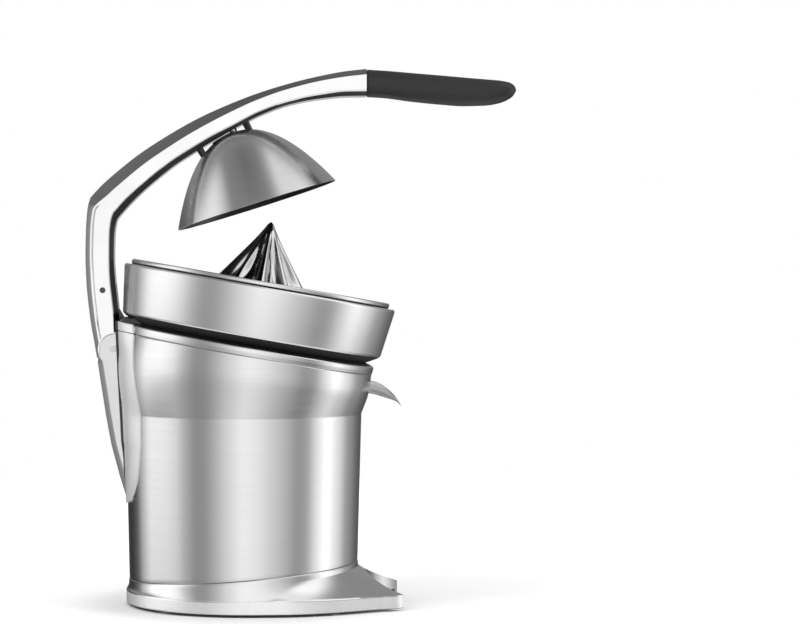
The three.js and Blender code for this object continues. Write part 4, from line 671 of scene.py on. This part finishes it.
def build_cone():
    """Radius by height and angle: a bell-mouthed cone whose section swells into four tall fins, each with a
    lower rib on either side, and thins to valleys between them; fins fade into the rounded tip and into the
    flat skirt."""
    up = np.r_[0, 0.006, np.linspace(0.015, 0.97, 60), 0.982, 0.992, 0.998]
    out = smooth([(0, 1), (0.03, 0.985), (0.13, 0.85), (0.27, 0.7), (0.45, 0.52), (0.63, 0.345), (0.8, 0.185),
                  (0.92, 0.085), (0.97, 0.045), (1, 0.0)], up)
    sides = 256
    turn = np.linspace(0, 2 * np.pi, sides, endpoint=False)
    depth = 0.34 * np.sin(np.pi * np.minimum(1, up * 1.06 + 0.05)) ** 0.8
    fin = np.abs(np.cos(turn * 2)) ** 10
    rib = 0.62 * np.abs(np.sin(turn * 2)) ** 16
    low_rib = 0.5 * np.abs(np.cos(turn * 6 + np.pi / 2)) ** 6 * (fin < 0.2)
    crest = np.maximum(np.maximum(fin, rib), low_rib)
    radius = 49 * out[:, None] * (1 - depth[:, None] * (1 - crest[None, :]))
    z = 64 + 66 * up
    grid = np.stack([radius * np.cos(turn), radius * np.sin(turn), np.outer(z, np.ones_like(turn))], -1)
    under = lathe([(20, 80), (44, 66), (46, 64.2)], sides)
    mesh = grid_mesh("squeezing_cone", lean(np.concatenate([under, grid])), capped=True)
    piece("squeezing_cone", mesh, "spindle", ("juicing_cone",), cone_metal, 50)


build_bowl()
build_filter()
build_cone()


# dome, hub and legs
REACH = 325.1
KNEE = np.array([-104.2, 206.0])


def on_arm(share_x, share_z):
    """A place on the arm, by shares of the arm's reach, counted from the knee pin."""
    return KNEE + REACH * np.array([share_x, share_z])


DOME_RIM = on_arm(0.353, 0.3589)


def build_dome():
    """A thin shell of revolution: height falls from the crown as a power of the radius, to a rolled rim."""
    share = np.sin(np.linspace(0.06, np.pi / 2, 56))

    def skin_line(offset):
        return np.stack([(66.7 + offset) * share, (61.8 + offset) * (1 - share ** (1 / 0.46))], -1)

    outer, inner = skin_line(0), skin_line(-1.4)[::-1]
    rim = np.array([(66.9, -0.5), (66.3, -0.9), (65.5, -0.6)])
    section = np.vstack([outer, rim, inner])
    grid = lean(lathe(section, 200), DOME_LEAN, *DOME_RIM)
    # the inner wall is painted dark: a painted dark reflection on the steel
    mesh = grid_mesh("dome", grid, along_too=True, shade=lambda r, c: r > len(outer))
    piece("dome", mesh, "arm_body", ("press_dome",), [dome_steel, painted_dark_reflection], 35)


def build_hanger():
    """The dome hangs on a hub and two curved legs, open between them: each is a section of (radius, height)
    under the arm, carried round the bolt's axis, all the way for the hub and a short way for a leg."""
    def place(ring):
        return lean(ring, math.radians(-30), *on_arm(0.2697, 0.5281))

    hub = rounded([(0.01, -8.6), (9.3, -8.2), (10.5, -6.0), (10.5, -0.2), (0.01, -0.2)], 0.6, closed=False)
    piece("dome_hub", grid_mesh("dome_hub", place(lathe(hub, 64))), "arm_body", ("dome_collar",), cap_plastic)
    section = rounded([(20.4, -9.4), (23.4, -11.2), (24.3, -1.0), (24.3, 0.6), (20.4, 0.6)], 0.5)
    for middle, name in ((0, "front"), (math.pi, "rear")):
        leg = swept(section, middle + np.linspace(-0.42, 0.42, 24))
        piece(f"dome_leg_{name}", grid_mesh("dome_leg", place(leg), capped=True), "arm_body", (), cap_plastic)


build_dome()
build_hanger()


# arm and grip
# from the knuckle to the grip, as shares of the arm's reach: outer edge x and z, inner edge x and z,
# width of the bevel along the back, and width of the chamfer along the front
ARM = np.array([
    [-0.0427, -0.0224, 0.0097, -0.0224, 0.0110, 0.0062], [-0.0504, 0.0212, 0.0110, 0.0212, 0.0110, 0.0100],
    [-0.0591, 0.0711, 0.0120, 0.0711, 0.0115, 0.0135], [-0.0696, 0.1709, 0.0022, 0.1709, 0.0117, 0.0140],
    [-0.0716, 0.2332, -0.0012, 0.2257, 0.0112, 0.0125], [-0.0706, 0.2906, -0.0002, 0.2806, 0.0112, 0.0130],
    [-0.0661, 0.3505, 0.0062, 0.3193, 0.0140, 0.0150], [-0.0596, 0.3754, 0.0127, 0.3295, 0.0237, 0.0175],
    [-0.0327, 0.4048, 0.0359, 0.3559, 0.0287, 0.0175], [0.0122, 0.4445, 0.0659, 0.3859, 0.0282, 0.0160],
    [0.0621, 0.4837, 0.1083, 0.4228, 0.0274, 0.0150], [0.1120, 0.5168, 0.1519, 0.4570, 0.0264, 0.0145],
    [0.1619, 0.5470, 0.1968, 0.4862, 0.0249, 0.0140], [0.2118, 0.5740, 0.2405, 0.5133, 0.0234, 0.0135],
    [0.2741, 0.6024, 0.2978, 0.5465, 0.0200, 0.0105], [0.3490, 0.6318, 0.3652, 0.5814, 0.0155, 0.0095],
    [0.4238, 0.6555, 0.4338, 0.6064, 0.0130, 0.0085], [0.4986, 0.6745, 0.5036, 0.6204, 0.0127, 0.0100],
    [0.5735, 0.6889, 0.5760, 0.6276, 0.0140, 0.0125], [0.6258, 0.6947, 0.6258, 0.6283, 0.0140, 0.0125]])


def stretched(table, share):
    """A table's columns as smooth curves along it, at shares of its length."""
    knots = np.linspace(0, 1, len(table))
    return np.stack([smooth(np.stack([knots, column], 1), share) for column in table.T], -1)


def arm_rows(count):
    """The arm's edge table drawn out to more rows, smooth below and above the elbow, which is kept."""
    elbow = 7
    low = stretched(ARM[:elbow + 1], np.linspace(0, 1, count // 3))
    high = stretched(ARM[elbow:], np.linspace(0, 1, count - count // 3))
    return np.vstack([low, high[1:]])


def build_arm():
    """At each row, a section square to the arm: a flat back, a wide back bevel, a fine groove, the side face,
    the front chamfer and the front face, mirrored to the far side. The rows are joined into one casting, then
    room for the link's ears and the upper link's slot are carved. The knuckle's tongue is a disc on each side
    of the slot."""
    table = arm_rows(120)
    outer = KNEE + REACH * table[:, 0:2]
    inner = KNEE + REACH * table[:, 2:4]
    across = inner - outer
    depth = np.linalg.norm(across, axis=1)
    unit = across / depth[:, None]
    half = np.linspace(14, 13, len(table))
    back, front = table[:, 4] * REACH, table[:, 5] * REACH
    groove = back + 1.4
    slant = 0.42 * back
    sunk = 0.3 * np.clip((0.375 - table[:, 1]) / 0.01, 0, 1)
    zero = np.zeros_like(depth)
    knots = [(zero, half - slant - 0.5), (zero + 0.25, half - slant - 0.1), (back - 0.25, half - 0.2),
             (back, half - 0.05), (back + 0.3, half), (groove, half), (groove + 0.65, half - sunk),
             (groove + 0.75, half - sunk), (groove + 1.4, half), (depth - front - 0.8, half),
             (depth - front - 0.1, half - 0.14), (depth - front + 0.6, half - 0.55),
             (depth - 0.3, half - 2.75), (depth, half - 3.1)]
    ring = []
    for d, y in knots + [(d, -y) for d, y in knots[::-1]]:
        p = outer + unit * d[:, None]
        ring.append(np.stack([p[:, 0], y, p[:, 1]], -1))

    # the front chamfer takes the painted dark reflection, and the back bevel the grey of painted shade
    def shade(r, c):
        chamfer = (c > 10) & (c < 16) & (c != 13)
        bevel = (c < 3) | ((c > 23) & (c < 27))
        return chamfer + 2 * bevel

    mesh = grid_mesh("lever_arm", np.stack(ring, 1), capped=True, shade=shade)
    finishes = [arm_metal, painted_dark_reflection, painted_shade_bevel]
    thing = piece("lever_arm", mesh, "arm_body", ("press_arm",), finishes, 22)
    pin, ground = on_arm(-0.0287, 0.1454), np.array([-82.1, 199.1])     # where the upper link's two pins are
    length = np.linalg.norm(ground - pin)
    room = 8.5                      # the upper link's eye with its play, mm
    behind = np.array([(pin[1] - ground[1]) / length, (ground[0] - pin[0]) / length]) * room
    slot = [pin - behind + [0, 3.4], pin + [25, 10], ground + [34, -25], ground - behind + [0, -25]]
    carve(thing, rod_mesh(KNEE, 13.2, 8.6, 21), rod_mesh(KNEE, 13.2, -21, -8.6), plate_mesh(slot, -4.2, 4.2),
          rod_mesh(pin, room, -4.2, 4.2), rod_mesh(pin, 2.4, -20, 20, 40), crease=18)
    for side, name in ((-1, "near"), (1, "far")):
        tongue = rod_mesh(KNEE, 11.9, *sorted((8.5 * side, 4.4 * side)))
        piece(f"knuckle_tongue_{name}", tongue, "arm_body", (), pin_dark)


# shares of the arm's reach along the grip: top line x and z, bottom line x and z, and its width as a share
GRIP = np.array([[0.6271, 0.6952, 0.6271, 0.6273, 0.93], [0.6732, 0.6922, 0.6732, 0.6243, 0.97],
                 [0.7391, 0.6867, 0.7391, 0.6156, 1], [0.8104, 0.6807, 0.8104, 0.6084, 1],
                 [0.8663, 0.6757, 0.8663, 0.6046, 1], [0.9227, 0.6710, 0.9227, 0.6059, 0.97],
                 [0.9601, 0.6677, 0.9576, 0.6116, 0.88], [0.9838, 0.6628, 0.9800, 0.6204, 0.7],
                 [0.9960, 0.6543, 0.9925, 0.6298, 0.42], [1.0000, 0.6463, 0.9993, 0.6408, 0.12]])


def build_grip():
    """A soft sleeve: rounded-square sections between the grip's top and bottom lines, with a parting line."""
    s = np.unique(np.r_[0, 0.004, np.linspace(0.01, 1, 90)])
    table = stretched(GRIP, s)
    top, bottom = KNEE + REACH * table[:, 0:2], KNEE + REACH * table[:, 2:4]
    middle, up = (top + bottom) / 2, (top - bottom) / 2
    half = 14.5 * table[:, 4]
    shrink = 1 - 0.05 * np.maximum(0, 1 - s / 0.008)
    turn = np.linspace(0, 2 * np.pi, 96, endpoint=False)
    cos, sin = np.cos(turn), np.sin(turn)
    ease = 0.74
    a, b = np.sign(cos) * np.abs(cos) ** ease, np.sign(sin) * np.abs(sin) ** ease
    parting = 1 - 0.012 * np.exp(-(sin / 0.03) ** 2)
    x = middle[:, 0:1] + up[:, 0:1] * b * shrink[:, None]
    z = middle[:, 1:2] + up[:, 1:2] * b * shrink[:, None]
    y = half[:, None] * a * shrink[:, None] * parting
    mesh = grid_mesh("soft_handle", np.stack([x, y, z], -1), capped=True)
    piece("soft_handle", mesh, "arm_body", ("grip",), soft_grip, 40)


build_arm()
build_grip()


# rear link and spout
LINK_OUTLINE = [(-117.5, 195.2), (-115.3, 180.5), (-113.2, 167.5), (-111.2, 154.5), (-108.9, 141.5),
                (-106.4, 128.5), (-102.9, 115.6), (-99.4, 102.6), (-95.4, 89.6), (-93.8, 84.6), (-88, 88),
                (-82.6, 96), (-82, 104), (-86, 118), (-92, 136), (-97, 158), (-99.6, 178)]
LOWER_PIN = (-88, 102)


def build_link():
    """The link's side outline, its top a round ear about the knee pin, with each side face drawn in by a
    bevel that is widest along the back, and room for the arm's tongue carved between the two ears."""
    turn = np.radians(np.linspace(-8, 188, 40))
    ear = KNEE + 12.35 * np.stack([np.cos(turn), np.sin(turn)], -1)
    p = dense(np.vstack([rounded(LINK_OUTLINE, 2.0, closed=False), [-91.9, 201.5], ear]), 2.0)
    ahead, behind = np.roll(p, -1, 0), np.roll(p, 1, 0)
    tangent = (ahead - behind) / np.linalg.norm(ahead - behind, axis=1)[:, None]
    inward = np.stack([-tangent[:, 1], tangent[:, 0]], -1)
    area = np.sum(p[:, 0] * ahead[:, 1] - ahead[:, 0] * p[:, 1])
    inward *= 1 if area > 0 else -1
    rear = np.clip((inward[:, 0] - 0.75) / 0.2, 0, 1) * np.clip((200 - p[:, 1]) / 4, 0, 1)
    bevel, slant = 0.5 + 3.4 * rear, 0.4 + 1.3 * rear
    flat = np.full(len(p), 14.0)
    rows = [(bevel + 0.6, flat), (bevel, flat - 0.08), (bevel * 0, flat - slant)]
    rows += [(d, -y) for d, y in rows[::-1]]
    ring = [p + inward * d[:, None] for d, _ in rows]
    grid = np.stack([np.stack([q[:, 0], y, q[:, 1]], -1) for q, (_, y) in zip(ring, rows)])
    mesh = grid_mesh("long_link", grid, capped=True)
    thing = piece("long_link", mesh, "rear_link_body", ("rear_link",), link_metal, 30)
    above = [(-130, 206), (-90, 206), (-90, 240), (-130, 240)]
    carve(thing, rod_mesh(KNEE, 12.9, -9.0, 9.0), plate_mesh(above, -9.0, 9.0),
          rod_mesh(KNEE, 3.6, -20, 20, 48), rod_mesh(LOWER_PIN, 2.8, -20, 20, 40), crease=18)


# along the spout from its root to its beak: place, rim, floor and width, as shares
SPOUT = np.array([
    (-0.68, 1.04, 0.86, 0.8), (-0.6, 1.04, 0.3, 0.97), (0, 1.04, 0.13, 1), (0.27, 1.03, 0.02, 1),
    (0.52, 0.76, -0.2, 0.96), (0.67, 0.44, -0.35, 0.88), (0.81, 0, -0.49, 0.72), (0.92, -0.42, -0.66, 0.46),
    (1, -0.86, -0.95, 0.1)])


def build_spout():
    """A trough whose section is a soft U: rim, floor and width change along it until it ends in a beak."""
    s = np.linspace(SPOUT[0, 0], 1, 70)
    rim, floor, width = [smooth(SPOUT[:, [0, k]], s) for k in (1, 2, 3)]
    x, rim, floor, half = 96 + 31.3 * s, 169 + 10 * rim, 169 + 10 * floor, 12 * width
    turn = np.linspace(0, np.pi, 33)

    def arc(inset):
        y = -(half - np.minimum(inset, half * 0.6))[:, None] * np.cos(turn)
        deep = (rim - floor - np.minimum(inset, (rim - floor) * 0.6))[:, None]
        z = rim[:, None] - deep * np.sin(turn) ** 0.8
        return np.stack([np.repeat(x[:, None], len(turn), 1), y, z], -1)

    mesh = grid_mesh("pouring_spout", np.concatenate([arc(0), arc(1.2)[:, ::-1]], 1), capped=True)
    piece("pouring_spout", mesh, "spout_body", ("spout",), painted_shade_spout_steel, 45)
    outline = rounded([(88.9, 164.0), (93.9, 164.0), (93.9, 171.4), (88.9, 171.4)], 1.6)
    for side, name in ((-1, "near"), (1, "far")):
        ear = plate_mesh(outline, 7.2 * side - 1.1, 7.2 * side + 1.1)
        piece(f"spout_ear_{name}", ear, "spout_body", (), painted_shade_spout_steel)


build_link()
build_spout()


# finishes on the CAD nodes that stay
STAYING = (
    (black_plastic, "base_plate top_deck spout_bracket"),
    (foot_rubber, "cord_inlet rubber_foot_1 rubber_foot_2 rubber_foot_3 rubber_foot_4"),
    (pin_steel, "base_screw_1 base_screw_2 base_screw_3 base_screw_4 lower_link_pin upper_link_pin knee_pin"),
    (pin_steel, "gearbox_screw_1 gearbox_screw_2 gearbox_screw_3 gearbox_screw_4 grip_screw dome_bolt"),
    (pin_steel, "drive_shaft return_spring compound_axle spout_pin"),
    (pin_dark, "upper_link arm_link_pin"),
    (brass, "spindle_bush motor_pinion"),
    (nylon, "thrust_cup switch_plunger output_gear compound_gear"),
    (grey_plastic, "microswitch gearbox_case gearbox_cover motor_can"),
    (copper, "motor_armature"),
    (column_metal, "motor_end_cap"))
for finish, nodes in STAYING:
    for node in nodes.split():
        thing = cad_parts[node]
        thing.data.materials.clear()
        thing.data.materials.append(finish)


# camera, floor and light
def build_camera():
    """Side on and level, 2 m away, with the lens shifted so that the press stands left of the middle. The
    picture is 800 by 624 pixels; the body's axis stands on its column 243.6 and the floor on its row
    602.5."""
    data = bpy.data.cameras.new("camera")
    camera = bpy.data.objects.new("camera", data)
    scene.collection.objects.link(camera)
    distance, mm_per_px = 2000.0, 0.811
    width, height = 800, 624
    axis_px, floor_px = 243.6, 602.5
    eye_px = (259.0, 285.0)
    x = (eye_px[0] - axis_px) * mm_per_px + AXIS_X
    z = (floor_px - eye_px[1]) * mm_per_px
    camera.location = Vector((x, -distance, z)) * MM
    camera.rotation_euler = (math.pi / 2, 0, 0)
    data.sensor_width = 36
    data.lens = 36 * distance / mm_per_px / width
    data.shift_x = (width / 2 - eye_px[0]) / width
    data.shift_y = (eye_px[1] - height / 2) / width
    data.clip_end = 50
    scene.camera = camera


# where each of the floor's lifts begins and ends, in m off the axis, and its lowest and highest level
FLOOR_LIFTS = ((0.095, 0.15, 0.0, 0.17), (0.25, 0.9, 0.0, 0.3))


def build_floor():
    """A pale round floor. Seen directly it is lifted towards white by a light of its own: none near the
    press, which leaves a painted shadow round its foot, more by a soft step round it, and more again by a
    slow rise further out."""
    mesh = grid_mesh("floor", lathe([(0.001, 0), (400, 0), (1300, 0)], 96) - [AXIS_X, 0, 0])
    floor = bpy.data.objects.new("floor", turned_out(mesh))
    scene.collection.objects.link(floor)
    look = bpy.data.materials.new("floor")
    look.use_nodes = True
    tree = look.node_tree
    tree.nodes.clear()
    new, link = tree.nodes.new, tree.links.new
    out, total = new("ShaderNodeOutputMaterial"), new("ShaderNodeAddShader")
    paper, light = new("ShaderNodeBsdfDiffuse"), new("ShaderNodeEmission")
    paper.inputs["Color"].default_value = (0.8, 0.8, 0.8, 1)
    place, away = new("ShaderNodeTexCoord"), new("ShaderNodeVectorMath")
    away.operation = "DISTANCE"
    away.inputs[1].default_value = (AXIS_X * MM, 0, 0)
    link(place.outputs["Object"], away.inputs[0])
    both, level, rays = new("ShaderNodeMath"), new("ShaderNodeMath"), new("ShaderNodeLightPath")
    level.operation = "MULTIPLY"
    for socket, kind, limits in zip(both.inputs, ("SMOOTHSTEP", "LINEAR"), FLOOR_LIFTS):
        rise = new("ShaderNodeMapRange")
        rise.interpolation_type = kind
        for name, value in zip(("From Min", "From Max", "To Min", "To Max"), limits):
            rise.inputs[name].default_value = value
        link(away.outputs["Value"], rise.inputs["Value"])
        link(rise.outputs[0], socket)
    link(rays.outputs["Is Camera Ray"], level.inputs[0])
    link(both.outputs[0], level.inputs[1])
    link(level.outputs[0], light.inputs["Strength"])
    link(paper.outputs[0], total.inputs[0])
    link(light.outputs[0], total.inputs[1])
    link(total.outputs[0], out.inputs["Surface"])
    mesh.materials.append(look)
    floor.visible_glossy = False


STUDIO_PEAK = 1.6
# compass direction in degrees, or place from left to right, and the brightness there as a share of the peak
STUDIO_SHARES = [(-180, 0.3), (-173, 0.3), (-166, 0.03), (-147, 0.02), (-130, 0.06), (-117, 0.42),
                 (-104, 0.82), (-84, 0.84), (-71, 0.72), (-59, 0.38), (-48, 0.2), (-38, 0.22), (-27, 0.36),
                 (-17, 0.54), (0, 0.74), (12, 0.67), (32, 0.48), (43, 0.36), (54, 0.22), (65, 0.25),
                 (77, 0.62), (90, 0.96), (106, 0.6), (124, 0.22), (150, 0.08), (166, 0.04),
                 (173, 0.3), (180, 0.3)]
CEILING_SHARES = [(-1, 0.75), (-0.85, 0.75), (-0.76, 0.5), (-0.66, 0.18), (-0.45, 0.16), (-0.3, 0.12),
                  (0, 0.15), (0.12, 0.26), (0.25, 0.68), (0.4, 0.6), (0.6, 0.8), (0.85, 0.75), (1, 0.5)]


def build_world():
    """White behind the press. Gloss sees a studio of upright soft boxes, its brightness a function of the
    compass direction alone near the horizon. Lower down it dims, most on the left, and below that lies a pale
    floor. Higher up it goes over to a ceiling whose brightness runs from left to right in front, and to a
    pale screen behind."""
    world = bpy.data.worlds.new("studio")
    scene.world = world
    world.use_nodes = True
    tree = world.node_tree
    tree.nodes.clear()
    new, link = tree.nodes.new, tree.links.new
    out, sky = new("ShaderNodeOutputWorld"), new("ShaderNodeBackground")
    place, split = new("ShaderNodeTexCoord"), new("ShaderNodeSeparateXYZ")
    link(place.outputs["Generated"], split.inputs[0])
    right, back, up = split.outputs

    def put(value, socket):
        if isinstance(value, (int, float)):
            socket.default_value = value
        else:
            link(value, socket)

    def maths(kind, a, b=0.0, c=0.0):
        node = new("ShaderNodeMath")
        node.operation = kind
        for socket, value in zip(node.inputs, (a, b, c)):
            put(value, socket)
        return node.outputs[0]

    def fade(value, start, end, low, high):
        """Goes softly from the low level to the high one as the value goes from the start to the end."""
        node = new("ShaderNodeMapRange")
        node.interpolation_type = "SMOOTHSTEP"
        for name, level in zip(("Value", "From Min", "From Max", "To Min", "To Max"),
                               (value, start, end, low, high)):
            put(level, node.inputs[name])
        return node.outputs[0]

    def boxes(value, shares):
        """The studio's brightness at a value, easing from each share of its peak to the next."""
        node = new("ShaderNodeValToRGB")
        node.color_ramp.interpolation = "EASE"
        first, last = shares[0][0], shares[-1][0]
        ramp = node.color_ramp.elements
        for spot, level in shares[1:-1]:
            ramp.new((spot - first) / (last - first)).color = (level, level, level, 1)
        for stop, (_, level) in ((ramp[0], shares[0]), (ramp[-1], shares[-1])):
            stop.color = (level, level, level, 1)
        link(maths("DIVIDE", maths("SUBTRACT", value, first), last - first), node.inputs[0])
        return maths("MULTIPLY", node.outputs[0], STUDIO_PEAK)

    compass = maths("MULTIPLY", maths("ARCTAN2", right, maths("MULTIPLY", back, -1.0)), 180 / math.pi)
    band = boxes(compass, STUDIO_SHARES)
    left_edge = maths("MULTIPLY", maths("MAXIMUM", maths("SUBTRACT", -0.7, right), 0.0), 2.2)
    depth = maths("ADD", maths("MULTIPLY_ADD", maths("MAXIMUM", right, 0.0), 0.3, 0.24), left_edge)
    dimmed = fade(maths("MULTIPLY_ADD", right, 0.1, up), -0.34, -0.2, maths("SUBTRACT", 1.0, depth), 1.0)
    low = fade(up, -0.8, -0.6, 0.9, maths("MULTIPLY", band, dimmed))
    ceiling = fade(back, -0.1, 0.4, boxes(right, CEILING_SHARES), 0.3)
    studio = fade(maths("MULTIPLY_ADD", back, 0.3, up), 0.28, 0.5, low, ceiling)
    rays = new("ShaderNodeLightPath")
    shiny = maths("MAXIMUM", rays.outputs["Is Glossy Ray"], rays.outputs["Is Transmission Ray"])
    soft = fade(shiny, 0.0, 1.0, 0.55, studio)
    link(fade(rays.outputs["Is Camera Ray"], 0.0, 1.0, soft, 1.0), sky.inputs["Color"])
    link(sky.outputs[0], out.inputs["Surface"])


def build_lamp(name, place, aim, size, power):
    """A soft rectangular lamp in millimetres round the body, aimed at a point of it."""
    data = bpy.data.lights.new(name, "AREA")
    data.shape, data.size, data.size_y, data.energy = "RECTANGLE", size[0] * MM, size[1] * MM, power
    lamp = bpy.data.objects.new(name, data)
    scene.collection.objects.link(lamp)
    lamp.location = Vector(place) * MM
    lamp.rotation_euler = (Vector(aim) - Vector(place)).to_track_quat("-Z", "Y").to_euler()
    lamp.visible_glossy = False


build_camera()
build_floor()
build_world()
build_lamp("key", (-1500, -900, 1700), (-40, 0, 220), (1100, 1400), 24)
build_lamp("fill", (1600, -700, 1200), (0, 0, 220), (900, 1200), 14)
build_lamp("top", (0, 300, 2200), (-40, 0, 200), (1400, 1400), 16)
scene.view_settings.view_transform = "Standard"
